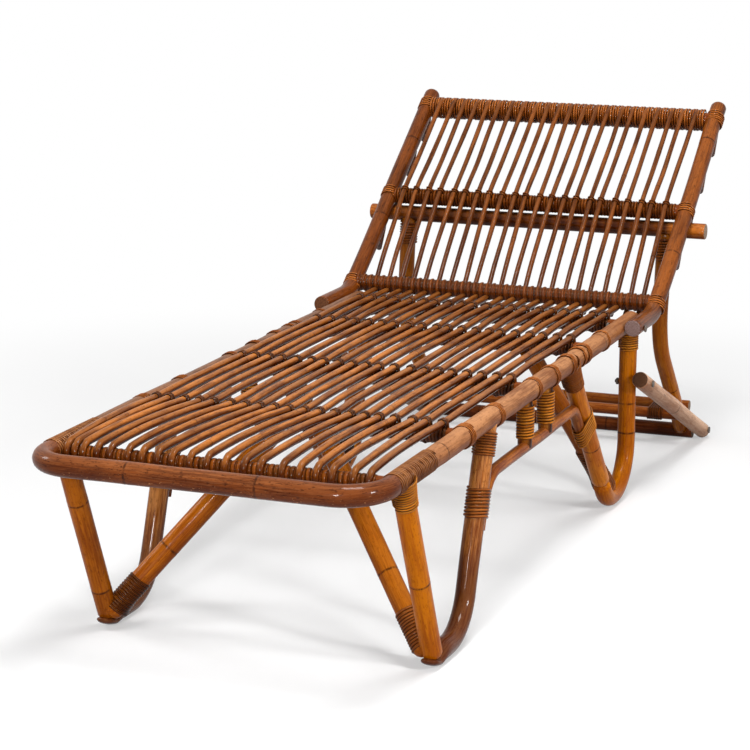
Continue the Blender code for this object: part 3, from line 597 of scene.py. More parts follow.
# a tie goes across a rod and round the bar under it; forth is its place along the rod
def tieRod(piece, centre, barWay, rodWay, up, barRadius, rodRadius, forth, lean, tone, start):
    weave = weaves["tie"]
    off = weave["thick"] * weave["sit"]
    reach = rodRadius + off
    rodRise = barRadius + rodRadius
    low = barRadius + off
    loop = ((-1.0, rodRise - 0.2 * rodRadius), (-0.74, rodRise + 0.70 * reach), (0.0, rodRise + reach),
            (0.74, rodRise + 0.70 * reach), (1.0, rodRise - 0.2 * rodRadius), (1.2, 0.25 * low),
            (0.95, -0.8 * low), (0.0, -low), (-0.95, -0.8 * low), (-1.2, 0.25 * low))
    points, outs = [], []
    for across, rise in loop:
        slide = forth + lean * across
        points.append(centre + barWay * (across * reach) + rodWay * slide + up * rise)
        outs.append((barWay * across + up * (rise / low - 0.6)).normalized())
    layStrand(piece, points, outs, weave, tone, True, start)


# foot loop, side rails and cross bars
seatSize = {"railRadius": 0.017, "loopFront": -0.012, "loopBend": 0.068, "loopEnd": 0.118, "railEnd": 1.345,
            "overlap": 0.004, "barRadius": 0.0125, "loopRings": (-0.108, 0.100), "loopSway": 0.0006,
            "railSway": 0.0007,
            "railRings": {1: (0.264, 1.112), -1: (0.52, 1.02)}, "barRings": (0.13, 0.41)}
barNames = ("front", "calf", "knee", "hip", "rear")
railX = middle("side_rail_right").x
railZ = middle("side_rail_right").z
barAt = {name: middle("seat_bar_" + name) for name in barNames}

loopBack = seatSize["loopEnd"] + seatSize["overlap"]
loopPath = bentPath([spot(-railX, loopBack, railZ), spot(-railX, seatSize["loopFront"], railZ),
                     spot(railX, seatSize["loopFront"], railZ), spot(railX, loopBack, railZ)],
                    (seatSize["loopBend"],) * 2)
loop = Piece()
loopRings = [loopPath.total / 2 + x for x in seatSize["loopRings"]]
growPole(loop, loopPath, seatSize["railRadius"], upright, loopRings, ("plain", "plain"), seed=11, tone=0.3,
         sway=seatSize["loopSway"])
loop.finish("foot_loop_cane", "seat_frame", skins["loop"], "loop_pole", "front_loop")

for side, sign in halves.items():
    railStart = seatSize["loopEnd"] - seatSize["overlap"]
    path = Path([spot(sign * railX, y, railZ) for y in (railStart, seatSize["railEnd"])])
    rail = Piece()
    rings = [y - railStart for y in seatSize["railRings"][sign]]
    growPole(rail, path, seatSize["railRadius"], sideways, rings, ("plain", "cut"), seed=20 + sign, tone=0.3,
             sway=seatSize["railSway"])
    # the left rail takes the darker copy of the rail: painted shade
    skin = skins["rail" if sign > 0 else "railLeftShaded"]
    rail.finish("side_rail_cane_" + side, "seat_frame", skin, "rail_pole", "side_rail_" + side)

for number, name in enumerate(barNames):
    low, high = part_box("seat_bar_" + name)
    path = Path([Vector((x, barAt[name].y, barAt[name].z)) for x in (low.x, high.x)])
    bar = Piece()
    growPole(bar, path, seatSize["barRadius"], upright, seatSize["barRings"], ("plain", "plain"),
             seed=30 + number, tone=0.6)
    bar.finish("seat_bar_cane_" + name, "seat_frame", skins["bar"], "bar_pole", "seat_bar_" + name)
print("foot loop, rails and cross bars made")

# legs: the front toe is scooped and carries the post's foot, the rear toe turns up into the post
legSize = {
    "radius": 0.0165, "bend": 0.090, "floorZ": 0.0172, "topZ": 0.315, "heelZ": 0.0415, "braceRadius": 0.0168,
    "braceFootZ": 0.0159, "braceIn": 0.008, "braceHeadIn": 0.012, "toeNarrow": 0.2, "toeFade": 0.55,
    "sway": 0.0004,
    "postRings": {("front", 1): (0.196,), ("front", -1): (0.11, 0.285),
                  ("rear", 1): (0.240,), ("rear", -1): (0.17,)},
    "bentRings": {("front", 1): (), ("front", -1): (0.16,),
                  ("rear", 1): (0.156, 0.213), ("rear", -1): (0.19,)},
    "braceRings": {"front": 0.262, "rear": 0.14}, "braceTone": {1: 1.0, -1: 0.1},
}
legPlan = {
    "front": {"top": 0.4863, "corner": 0.3735, "post": 0.110, "heel": 0.232, "postEnd": 0.0155,
              "braceFoot": 0.228, "braceHead": 0.029, "bar": "calf",
              "toe": ((0.275, 0.0174), (0.247, 0.0069), (0.2185, 0.0180)), "toeBends": (0.030, 0.020),
              "toeRun": 0.062, "toeThin": 0.36, "bentSkin": "bent", "postSkin": "post"},
    "rear": {"top": 1.325, "corner": 1.325, "post": 0.945, "heel": 1.176, "postEnd": 0.060,
             "braceFoot": 1.234, "braceHead": 0.1525, "bar": "hip",
             "toe": ((1.197, 0.0167), (1.160, 0.060)), "toeBends": (0.070,),
             "toeRun": 0.050, "toeThin": 0.96, "bentSkin": "post", "postSkin": "postRearLit"},
}


def bentSlope(leg):
    return (leg["top"] - leg["corner"]) / (legSize["topZ"] - legSize["braceFootZ"])


def postSlope(leg):
    return (leg["heel"] - leg["post"]) / (legSize["heelZ"] - legSize["topZ"])


def bentLegPath(leg, x):
    rise = railZ - legSize["topZ"]
    corners = [spot(x, leg["top"] + bentSlope(leg) * rise, railZ), spot(x, leg["corner"], legSize["floorZ"])]
    corners += [spot(x, y, z) for y, z in leg["toe"]]
    return bentPath(corners, (legSize["bend"],) + leg["toeBends"])


def postSpot(leg, x, z):
    return spot(x, leg["post"] + postSlope(leg) * (z - legSize["topZ"]), z)


def bracePath(leg, sign):
    foot = spot(sign * railX, leg["braceFoot"], legSize["braceFootZ"])
    bar = barAt[leg["bar"]]
    return Path([foot, Vector((sign * leg["braceHead"], bar.y, bar.z))])


for which, leg in legPlan.items():
    for side, sign in halves.items():
        x = sign * railX
        label = which + "_" + side
        seed = 40 + sign + len(which)
        path = bentLegPath(leg, x)

        def whittle(along, total=path.total, run=leg["toeRun"], thin=leg["toeThin"]):
            share = min(max((along - total + run) / (legSize["toeFade"] * run), 0.0), 1.0)
            return 1 - (1 - thin) * share, 1 - legSize["toeNarrow"] * (1 - thin) * share

        bent = Piece()
        growPole(bent, path, legSize["radius"], sideways, legSize["bentRings"][(which, sign)],
                 ("plain", "dome"), seed, tone=0.3, taper=whittle, sway=legSize["sway"])
        bent.finish("leg_bend_cane_" + label, "seat_frame", skins[leg["bentSkin"]], "bent_pole",
                    "leg_bend_" + label)
        post = Piece()
        path = Path([postSpot(leg, x, railZ), postSpot(leg, x, leg["postEnd"])])
        growPole(post, path, legSize["radius"], sideways, legSize["postRings"][(which, sign)],
                 ("plain", "dome"), seed + 10, tone=0.3, sway=legSize["sway"])
        # right posts take their leg's post skin; at the rear it is the lighter copy, painted light
        skin = skins[leg["postSkin"] if sign > 0 else "brace"]
        post.finish("leg_post_cane_" + label, "seat_frame", skin, "post_pole", "leg_post_" + label)
        brace = Piece()
        path = bracePath(leg, sign)
        path = Path([path.at(legSize["braceIn"]), path.at(path.total - legSize["braceHeadIn"])])
        growPole(brace, path, legSize["braceRadius"], forward, (path.total - legSize["braceRings"][which],),
                 ("dome", "plain"), seed + 20, legSize["braceTone"][sign], sway=legSize["sway"])
        brace.finish("leg_brace_cane_" + label, "seat_frame", skins["brace"], "brace_pole",
                     "leg_brace_" + label)

stretchSize = {"radius": 0.010, "bends": (0.070, 0.030), "line": 0.241, "frontDrop": 0.160, "rearDrop": 0.186,
               "spindleRadius": 0.012, "rings": (0.34,), "sway": 0.0007}


def stretchFront(z):
    slope = bentSlope(legPlan["front"])
    beside = (legSize["radius"] + stretchSize["radius"]) * math.hypot(1, slope)
    return legPlan["front"]["corner"] + (z - legSize["braceFootZ"]) * slope + beside


def stretchRear(z):
    slope = postSlope(legPlan["rear"])
    beside = (legSize["radius"] + stretchSize["radius"]) * math.hypot(1, slope)
    return legPlan["rear"]["post"] + (z - legSize["topZ"]) * slope - beside


for side, sign in halves.items():
    x = sign * railX
    line = stretchSize["line"]
    corners = [spot(x, stretchFront(z), z) for z in (stretchSize["frontDrop"], line)]
    corners += [spot(x, stretchRear(z), z) for z in (line, stretchSize["rearDrop"])]
    stretcher = Piece()
    growPole(stretcher, bentPath(corners, stretchSize["bends"]), stretchSize["radius"], sideways,
             stretchSize["rings"], ("cut", "cut"), seed=70 + sign, tone=0.3, sway=stretchSize["sway"])
    stretcher.finish("side_stretcher_cane_" + side, "seat_frame", skins["prop"], "rail_pole",
                     "side_stretcher_" + side)
    for number in (1, 2):
        node = "spindle_%d_%s" % (number, side)
        low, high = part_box(node)
        centre = middle(node)
        spindle = Piece()
        path = Path([Vector((centre.x, centre.y, z)) for z in (low.z, high.z)])
        growPole(spindle, path, stretchSize["spindleRadius"], sideways, (), ("plain", "plain"),
                 seed=80 + number)
        spindle.finish("spindle_cane_%d_%s" % (number, side), "seat_frame", skins["golden"], "bar_pole", node)
print("legs, stretchers and spindles made")

# back
backSize = {"corner": spot(0, 1.374, 0.340), "tilt": math.radians(35.3), "stileX": 0.309,
            "stileRadius": 0.016, "stileTop": 0.594, "stileBend": 0.110, "hingeStart": 1.228,
            "barRadius": 0.015, "bars": {"bottom": 0.027, "middle": 0.277, "top": 0.545},
            "barRings": (0.16, 0.43), "stileRings": {1: (0.30, 0.62), -1: (0.355, 0.58)}, "stileSway": 0.0008}
pegSize = {"count": 4, "low": 0.489, "step": 0.108, "seat": 0.0163, "toe": 0.050, "length": 0.052,
           "width": 0.018, "heel": 0.006, "sides": 16,
           "rows": ((0.0, 0.3, 1.0), (0.0, 0.93, 1.0), (0.02, 1.0, 0.0), (0.35, 1.0, 0.0), (0.7, 0.96, 0.0),
                    (0.96, 0.85, 0.0), (1.0, 0.7, 0.0), (1.0, 0.2, 0.0))}
upBack = Vector((0, math.cos(backSize["tilt"]), math.sin(backSize["tilt"])))
rearward = Vector((0, math.sin(backSize["tilt"]), -math.cos(backSize["tilt"])))


def backSpot(x, along, behind=0.0):
    return backSize["corner"] + upBack * along + rearward * behind + sideways * x


for side, sign in halves.items():
    x = sign * backSize["stileX"]
    # the left stile takes the darker copy of the stile: painted shade
    skin = skins["stile" if sign > 0 else "stileLeftShaded"]
    path = bentPath([spot(x, backSize["hingeStart"], backSize["corner"].z), backSpot(x, 0),
                     backSpot(x, backSize["stileTop"])], (backSize["stileBend"],))
    stile = Piece()
    growPole(stile, path, backSize["stileRadius"], sideways, backSize["stileRings"][sign], ("cut", "dome"),
             seed=90 + sign, tone=0.35, sway=backSize["stileSway"])
    stile.finish("back_stile_cane_" + side, "backrest", skin, "brace_pole", "back_stile_" + side)
    for number in range(pegSize["count"]):
        node = "peg_%d_%s" % (number + 1, side)
        low = pegSize["low"] - number * pegSize["step"]
        peg = Piece()
        stations = []
        for share, scale, cut in pegSize["rows"]:
            depth = pegSize["toe"] - pegSize["seat"]
            depth += (pegSize["heel"] - depth) * share
            at = backSpot(x, low + pegSize["length"] * share, pegSize["seat"] + depth / 2)
            stations.append(Station(at, upBack, rearward, pegSize["width"] / 2 * scale, depth / 2 * scale,
                                    share * pegSize["length"] + number, 0.0, cut))
        peg.tube(stations, pegSize["sides"], tone=0.3 + 0.1 * number)
        peg.finish("peg_cane_%d_%s" % (number + 1, side), "backrest", skins["stile"], "pegs", node)

for number, (name, along) in enumerate(backSize["bars"].items()):
    low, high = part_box("back_bar_" + name)
    bar = Piece()
    path = Path([backSpot(x, along) for x in (low.x, high.x)])
    growPole(bar, path, backSize["barRadius"], upBack, backSize["barRings"], ("plain", "plain"),
             seed=100 + number, tone=0.5)
    bar.finish("back_bar_cane_" + name, "backrest", skins["bar"], "bar_pole", "back_bar_" + name)
print("back stiles, pegs and bars made")

# prop frame and tie arms
propSize = {"rodRadius": 0.0155, "legX": 0.268, "legRadius": 0.0155, "knee": spot(0, 1.575, 0.245),
            "bend": 0.150, "legIn": 0.010, "legSteps": 60, "legRings": (0.12, 0.36), "legSway": 0.0005,
            "floorBarRadius": 0.0144, "barRadius": 0.011, "armX": 0.308, "armRadius": 0.0155,
            "armPast": 0.034, "armEnd": 0.023, "armRings": (0.27,), "armSway": 0.0004}
armTop = joints["arm_drop"]
armFoot = joints["prop_swing"]
rodAt = middle("prop_rod")
floorAt = middle("floor_bar")
armWay = (armFoot - armTop).normalized()

crossPoles = {
    "prop_rod": ("rodRadius", "propRod", "bar_pole", (0.22, 0.50)),
    "floor_bar": ("floorBarRadius", "bar", "bent_pole", (0.12, 0.40)),
    "prop_bar_front": ("barRadius", "prop", "bent_pole", (0.20,)),
    "prop_bar_back": ("barRadius", "prop", "bent_pole", (0.31,)),
}
for number, (node, (size, skin, slot, rings)) in enumerate(crossPoles.items()):
    low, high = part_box(node)
    centre = middle(node)
    pole = Piece()
    path = Path([Vector((x, centre.y, centre.z)) for x in (low.x, high.x)])
    growPole(pole, path, propSize[size], upright, rings, ("cut", "cut"), seed=111 + number)
    pole.finish(node + "_cane", "prop_frame", skins[skin], slot, node)

for side, sign in halves.items():
    x = sign * propSize["legX"]
    path = bentPath([Vector((x, rodAt.y, rodAt.z)), propSize["knee"] + sideways * x,
                     Vector((x, floorAt.y, floorAt.z))], (propSize["bend"],))
    inner = path.total - 2 * propSize["legIn"]
    steps = propSize["legSteps"]
    path = Path([path.at(propSize["legIn"] + inner * step / steps) for step in range(steps + 1)])
    leg = Piece()
    growPole(leg, path, propSize["legRadius"], sideways, propSize["legRings"], ("plain", "plain"),
             seed=120 + sign, sway=propSize["legSway"])
    # the prop legs take the lighter copy, with painted shade at the top
    leg.finish("prop_leg_cane_" + side, "prop_frame", skins["propLegLitAndShaded"], "brace_pole", "prop_leg_" + side)
    shift = sideways * (sign * propSize["armX"])
    path = Path([armTop + shift - armWay * propSize["armPast"],
                 armFoot + shift + armWay * propSize["armEnd"]])
    arm = Piece()
    growPole(arm, path, propSize["armRadius"], sideways, propSize["armRings"], ("cut", "dome"),
             seed=130 + sign, tone=0.3, sway=propSize["armSway"])
    arm.finish("tie_arm_cane_" + side, "tie_arms", skins["arm"], "rail_pole", "tie_arm_" + side)
print("prop frame and tie arms made")

# rods of the seat and the back
rodSize = {"sides": 10, "step": 0.012, "markFrom": (0.10, 0.45), "markStep": (0.45, 0.75),
           "whittleFrom": 0.030, "whittleRun": 0.035, "whittleWide": 0.90, "whittleDeep": 0.62,
           "markClear": 0.006, "markGaps": (-0.005, -0.0015, 0.0, 0.0015, 0.005), "markWide": 0.0016,
           "markDark": 0.8, "knot": 0.05, "knotWide": 0.004, "lumps": 0.03, "lumpPace": 31,
           "bareTail": 0.05, "widest": 1.8}
seatRodSize = {"count": 20, "radius": 0.0061, "low": -0.2545, "high": 0.237, "z": 0.3468, "end": 1.374,
               "frontHump": (0.004, 0.006), "hump": (0.0010, 0.0026), "shift": 0.0020, "wander": 0.0008,
               "humpShape": ((0.3, 1.0), (0.7, 0.75)),
               "tuck": ((0.35, -0.98), (-0.50, -0.88), (-0.95, -0.30), (-0.96, 0.32), (-0.60, 0.83)),
               "front": (-0.249, -0.236, -0.222, -0.199, -0.177, -0.148, -0.124, -0.099, -0.075, -0.046,
                         -0.018, 0.011, 0.042, 0.068, 0.102, 0.130, 0.156, 0.181, 0.214, 0.239)}
backRodSize = {"count": 22, "radius": 0.0048, "span": 0.546, "off": 0.0201, "shift": 0.0016,
               "wander": 0.0006, "tuck": (-0.020, 0.0, 0.018), "closer": 0.0004, "sag": 0.002,
               "between": (0.33, 0.67), "outerShift": 0.3,
               "curl": ((-0.35, -1.08), (0.30, -0.98), (0.80, -0.62), (1.0, 0.0), (0.78, 0.62), (0.2, 0.98))}
hug = 0.0036            # middle of a whittled rod off the bar it bends over


def within(chance, spread):
    widest = rodSize["widest"] * spread
    return min(max(chance.gauss(0, spread), -widest), widest)


def growRod(piece, path, radius, tone, seed, bareEnd):
    chance = random.Random(seed)
    start = chance.uniform(0, 7)
    marks = []
    joint = chance.uniform(*rodSize["markFrom"])
    while joint < path.total - rodSize["bareTail"]:
        marks.append(joint)
        joint += chance.uniform(*rodSize["markStep"])
    count = round(path.total / rodSize["step"])
    places = [path.total * step / count for step in range(count + 1)]
    for mark in marks:
        places = [place for place in places if abs(place - mark) > rodSize["markClear"]]
        places += [mark + gap for gap in rodSize["markGaps"]]
    stations = []
    for along in sorted(places):
        thick = radius * (1 + rodSize["lumps"] * math.sin(along * rodSize["lumpPace"] + start))
        dark = 0.0
        for mark in marks:
            off = along - mark
            thick *= 1 + rodSize["knot"] * math.exp(-(off / rodSize["knotWide"]) ** 2)
            dark = max(dark, rodSize["markDark"] * math.exp(-(off / rodSize["markWide"]) ** 2))
        left = along if bareEnd == 0 else path.total - along
        share = min(max((left - rodSize["whittleFrom"]) / rodSize["whittleRun"], 0.0), 1.0)
        share = share * share * (3 - 2 * share)
        wide = thick * (rodSize["whittleWide"] + (1 - rodSize["whittleWide"]) * share)
        deep = thick * (rodSize["whittleDeep"] + (1 - rodSize["whittleDeep"]) * share)
        ahead = path.heading(along)
        up = ahead.cross(sideways) * -1
        stations.append(Station(path.at(along), ahead, up, wide, deep, along + start, dark))
    piece.tube(stations, rodSize["sides"], tone)


chance = random.Random(7)
seatRods = Piece()
seatCross = {}
for number in range(seatRodSize["count"]):
    share = number / (seatRodSize["count"] - 1)
    base = seatRodSize["low"] + (seatRodSize["high"] - seatRodSize["low"]) * share
    outer = number in (0, seatRodSize["count"] - 1)
    bend = seatSize["barRadius"] + hug
    z = seatRodSize["z"]
    previous = None
    controls = []
    for name in barNames:
        shift = within(chance, seatRodSize["shift"]) * (0.0 if outer else 1.0)
        here = Vector((base + shift, barAt[name].y, z))
        if name == "front":
            here.x = seatRodSize["front"][number]
        seatCross[(name, number)] = here.x
        if previous is None:
            for forth, rise in seatRodSize["tuck"]:
                controls.append(Vector((here.x, here.y + forth * bend, barAt[name].z + rise * bend)))
        else:
            humps = seatRodSize["frontHump" if name == "calf" else "hump"]
            height = chance.uniform(*humps)
            for share, lift in seatRodSize["humpShape"]:
                at = previous.lerp(here, share) + sideways * within(chance, seatRodSize["wander"])
                controls.append(at + upright * height * lift)
        controls.append(here)
        previous = here
    controls.append(Vector((previous.x, seatRodSize["end"] + footLine, z)))
    growRod(seatRods, smoothPath(controls), seatRodSize["radius"], chance.uniform(0, 1), 200 + number, 0)
seatRods.finish("seat_rods_cane", "seat_frame", skins["rod"], "rods", "seat_rods")

backRods = Piece()
backCross = {}
bars = backSize["bars"]
for number in range(backRodSize["count"]):
    base = backRodSize["span"] * (number / (backRodSize["count"] - 1) - 0.5)
    outer = number in (0, backRodSize["count"] - 1)
    off = backRodSize["off"]
    bend = backSize["barRadius"] + hug - backRodSize["closer"]
    xs = {}
    for name in bars:
        xs[name] = base + within(chance, backRodSize["shift"]) * (backRodSize["outerShift"] if outer else 1.0)
        backCross[(name, number)] = xs[name]
    controls = [backSpot(xs["bottom"], bars["bottom"] + step, off) for step in backRodSize["tuck"]]
    for share in backRodSize["between"]:
        x = xs["bottom"] + (xs["middle"] - xs["bottom"]) * share + within(chance, backRodSize["wander"])
        along = bars["bottom"] + (bars["middle"] - bars["bottom"]) * share
        controls.append(backSpot(x, along, off * (0.95 - 2 * share)))
    controls.append(backSpot(xs["middle"], bars["middle"], -off))
    for share in backRodSize["between"]:
        x = xs["middle"] + (xs["top"] - xs["middle"]) * share + within(chance, backRodSize["wander"])
        along = bars["middle"] + (bars["top"] - bars["middle"]) * share
        controls.append(backSpot(x, along, backRodSize["sag"] - off))
    for along, behind in backRodSize["curl"]:
        controls.append(backSpot(xs["top"], bars["top"] + along * bend, behind * bend))
    growRod(backRods, smoothPath(controls), backRodSize["radius"], chance.uniform(0, 1), 300 + number, 1)
backRods.finish("back_rods_cane", "backrest", skins["backRod"], "rods", "back_rods")
print("rods laid")

# ties of the rods on the bars, and the peel wound on the bars between them
tieSize = {"rows": (-0.0040, 0.0, 0.0040), "lean": 0.0012, "backRows": (-0.0030, 0.0030), "barEnd": 0.016,
           "laceEnd": 0.005, "tones": (0.5, 1.0), "backTones": (0.2, 0.9)}


def windBar(piece, start, low, high, radius, weave, gap, seed):
    turns = int((high.x - low.x - 2 * gap) / weave["pitch"])
    begin = start + sideways * (low.x + gap)
    windPeel(piece, begin, sideways, [(Vector(), radius)], turns, weave, seed)


for name in barNames:
    ties = Piece()
    centre = barAt[name]
    for number in range(0 if name == "front" else seatRodSize["count"]):
        at = Vector((seatCross[(name, number)], centre.y, centre.z))
        for forth in tieSize["rows"]:
            tieRod(ties, at, sideways, forward, upright, seatSize["barRadius"], seatRodSize["radius"], forth,
                   chance.uniform(-1, 1) * tieSize["lean"], chance.uniform(*tieSize["tones"]),
                   chance.uniform(0, 9))
    low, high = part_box("seat_bar_" + name)
    weave = weaves["wide" if name == "front" else "bar"]
    windBar(ties, Vector((0, centre.y, centre.z)), low, high, seatSize["barRadius"], weave,
            tieSize["barEnd"], 400 + len(name))
    # ties behind the front bar take the darker peel: painted shade deep in the seat
    ties.finish("seat_ties_" + name, "seat_frame", skins["peel" if name == "front" else "shadedPeel"], "peel")

# how each bar of the back is wound, the bottom one in the darker peel as painted shade; over clears the rods
# that the top bar's lacing covers
backWind = {"bottom": {"skin": "shadedPeel", "weave": "pairs", "over": 0.0},
            "middle": {"skin": "peel", "weave": "bar", "over": 0.0},
            "top": {"skin": "wrap", "weave": "lace", "over": 0.0052}}
for name, along in bars.items():
    ties = Piece()
    for number in range(backRodSize["count"] if name == "middle" else 0):
        for forth in tieSize["backRows"]:
            tieRod(ties, backSpot(backCross[(name, number)], along), sideways, upBack, rearward * -1,
                   backSize["barRadius"], backRodSize["radius"], forth,
                   chance.uniform(-1, 1) * tieSize["lean"], chance.uniform(*tieSize["backTones"]),
                   chance.uniform(0, 9))
    low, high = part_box("back_bar_" + name)
    wind = backWind[name]
    windBar(ties, backSpot(0, along), low, high, backSize["barRadius"] + wind["over"], weaves[wind["weave"]],
            tieSize["laceEnd"], 420 + len(name))
    ties.finish("back_ties_" + name, "backrest", skins[wind["skin"]], "peel")
print("ties and bar peel wound")

# bindings of the seat frame
bindSize = {
    "fineSteps": 400, "cornerFrom": 0.062, "cornerTurns": 25,
    "rings": ((0.366, 4), (0.512, 4), (0.716, 3), (0.818, 3), (0.912, 3), (0.980, 2), (1.006, 3), (1.130, 2)),
    "bentTurns": {"front": 9, "rear": 8}, "postTurns": {"front": 11, "rear": 14}, "collar": 0.0042,
    "collarRise": 0.018, "braceTurns": {"front": 13, "rear": 20}, "braceFrom": 0.021, "braceLook": 0.05,
    "flare": (0.0155, 0.004), "jointTurns": 9, "jointLean": 0.002, "stretchTop": 0.231,
    "postStretchTop": 0.222, "postStretchTurns": 7, "postStretchLean": 0.006, "spindleTurns": 11,
}
legCircle = [(Vector(), legSize["radius"])]


def squareTo(way, vector):
    return vector - way * vector.dot(way)


def alongAt(path, z):
    steps = bindSize["fineSteps"]
    upperHalf = [path.total * step / steps for step in range(steps // 2)]
    return min(upperHalf, key=lambda along: abs(path.at(along).z - z))


for side, sign in halves.items():
    x = sign * railX
    worn = Piece()
    rail = [(Vector(), seatSize["railRadius"])]
    windPeel(worn, spot(x, bindSize["cornerFrom"], railZ), forward, rail, bindSize["cornerTurns"],
             weaves["corner"], 500 + sign)
    worn.finish("corner_wrap_" + side, "seat_frame", skins["wornPeel"], "peel")
    dark = Piece()
    golden = Piece()
    for y, turns in bindSize["rings"]:
        windPeel(dark, spot(x, y, railZ), forward, rail, turns, weaves["ring"], 510 + turns)
    for which, leg in legPlan.items():
        path = bentLegPath(leg, x)
        start = alongAt(path, legSize["topZ"])
        windPeel(dark if which == "front" else golden, path.at(start), path.heading(start), legCircle,
                 bindSize["bentTurns"][which], weaves["leg"], 520 + sign)
        postTop = postSpot(leg, x, legSize["topZ"] + bindSize["collarRise"])
        postWay = (postSpot(leg, x, leg["postEnd"]) - postTop).normalized()

        def collar(share):
            return [(Vector(), legSize["radius"] + bindSize["collar"] * (1 - share) ** 2)]

        windPeel(golden if which == "front" else dark, postTop, postWay, collar, bindSize["postTurns"][which],
                 weaves["fine" if which == "front" else "leg"], 530 + sign)
        brace = bracePath(leg, sign)
        braceWay = brace.heading(bindSize["braceLook"])

        def flare(share, path=path, brace=brace, braceWay=braceWay, turns=bindSize["braceTurns"][which]):
            here = brace.at(bindSize["braceFrom"] + share * turns * weaves["brace"]["pitch"])
            away = squareTo(braceWay, path.nearest(here) - here) * (1 - share)
            wide, less = bindSize["flare"]
            return [(Vector(), legSize["braceRadius"]), (away, wide - less * share)]

        windPeel(dark, brace.at(bindSize["braceFrom"]), braceWay, flare, bindSize["braceTurns"][which],
                 weaves["brace"], 540 + sign)
    path = bentLegPath(legPlan["front"], x)
    start = alongAt(path, bindSize["stretchTop"])
    way = path.heading(start)
    stretchAt = spot(x, stretchFront(bindSize["stretchTop"]), bindSize["stretchTop"])
    beside = squareTo(way, stretchAt - path.at(start))
    windPeel(dark, path.at(start), way, legCircle + [(beside, stretchSize["radius"])], bindSize["jointTurns"],
             weaves["joint"], 550 + sign, bindSize["jointLean"])
    leg = legPlan["rear"]
    start = postSpot(leg, x, bindSize["postStretchTop"])
    way = (postSpot(leg, x, leg["postEnd"]) - start).normalized()
    beside = squareTo(way, spot(x, stretchRear(start.z), start.z) - start)
    windPeel(golden, start, way, legCircle + [(beside, stretchSize["radius"])], bindSize["postStretchTurns"],
             weaves["goldenJoint"], 560 + sign, bindSize["postStretchLean"])
    dark.finish("frame_bindings_" + side, "seat_frame", skins["wrap" if sign > 0 else "peel"], "peel")
    golden.finish("golden_bindings_" + side, "seat_frame", skins["golden"], "peel")
    for number in (1, 2):
        node = "spindle_peel_%d_%s" % (number, side)
        low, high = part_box(node)
        centre = middle(node)
        pitch = (high.z - low.z) / bindSize["spindleTurns"]
        peel = Piece()
        windPeel(peel, Vector((centre.x, centre.y, low.z)), upright,
                 [(Vector(), stretchSize["spindleRadius"])], bindSize["spindleTurns"],
                 dict(weaves["spindle"], pitch=pitch, width=pitch), 570 + number)
        peel.finish("spindle_winding_%d_%s" % (number, side), "seat_frame", skins["golden"], "peel", node)
print("frame bindings wound")

# bindings of the back and the prop frame
propBind = {"stileRings": ((0.012, 4), (0.266, 4), (0.532, 5)), "legFrom": 0.017, "legTurns": 8,
            "pairFrom": 0.018, "pairTurns": 7}
for side, sign in halves.items():
    binds = Piece()
    for along, turns in propBind["stileRings"]:
        start = backSpot(sign * backSize["stileX"], along)
        windPeel(binds, start, upBack, [(Vector(), backSize["stileRadius"])], turns, weaves["ring"],
                 600 + turns)
    binds.finish("stile_bindings_" + side, "backrest", skins["wrap"], "peel")
    binds = Piece()
    x = sign * propSize["legX"]
    start = Vector((x, rodAt.y, rodAt.z))
    way = (propSize["knee"] + sideways * x - start).normalized()
    windPeel(binds, start + way * propBind["legFrom"], way, [(Vector(), propSize["legRadius"])],
             propBind["legTurns"], weaves["joint"], 620 + sign)
    upper, lower = middle("prop_bar_front"), middle("prop_bar_back")
    pair = [(Vector(), propSize["barRadius"]), (squareTo(sideways, lower - upper), propSize["barRadius"])]
    begin = Vector((x - sign * propBind["pairFrom"], upper.y, upper.z))
    windPeel(binds, begin, sideways * -sign, pair, propBind["pairTurns"], weaves["leg"], 630 + sign)
    binds.finish("prop_bindings_" + side, "prop_frame", skins["peel"], "peel")
print("back and prop bindings wound")

# bolts: domed head outside, hexagon nut and thread end inside
boltSize = {"headRadius": 0.0065, "head": 0.0030, "headSides": 24, "shank": 0.0030, "shankSides": 16,
            "nutRadius": 0.0066, "nut": 0.0045, "nutSides": 6, "past": 0.0040, "rim": 0.0009}


def boltPart(bolt, at, radius, length, segments, rim):
    bm = freshMesh()
    bmesh.ops.create_cone(bm, cap_ends=True, segments=segments, radius1=radius, radius2=radius, depth=length,
                          matrix=Matrix.Translation(at) @ Matrix.Rotation(math.pi / 2, 4, "Y"))
    if rim:
        rims = [edge for edge in bm.edges if abs(edge.verts[0].co.x - edge.verts[1].co.x) < 1e-6]
        bmesh.ops.bevel(bm, geom=rims, offset=rim, segments=2, profile=0.5, affect="EDGES", material=-1)
    for face in bm.faces:
        face.smooth = len(face.verts) < 8 and segments > boltSize["nutSides"]
    bolt.take(bm)


for kind, body in (("hinge", "seat_frame"), ("arm", "seat_frame"), ("floor", "tie_arms")):
    for side, sign in halves.items():
        node = "%s_bolt_%s" % (kind, side)
        low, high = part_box(node)
        centre = middle(node)
        outer = high.x if sign > 0 else low.x
        inner = low.x if sign > 0 else high.x
        bolt = Piece()
        headAt = outer - sign * boltSize["head"] / 2
        boltPart(bolt, Vector((headAt, centre.y, centre.z)), boltSize["headRadius"], boltSize["head"],
                 boltSize["headSides"], boltSize["rim"])
        length = high.x - low.x - boltSize["head"]
        boltPart(bolt, centre, boltSize["shank"], length, boltSize["shankSides"], 0.0)
        if kind != "floor":
            nutAt = inner + sign * (boltSize["past"] + boltSize["nut"] / 2)
            boltPart(bolt, Vector((nutAt, centre.y, centre.z)), boltSize["nutRadius"], boltSize["nut"],
                     boltSize["nutSides"], 0.0)
        bolt.finish(node + "_steel", body, boltSteel, "bolt_steel", node)
print("bolts made")

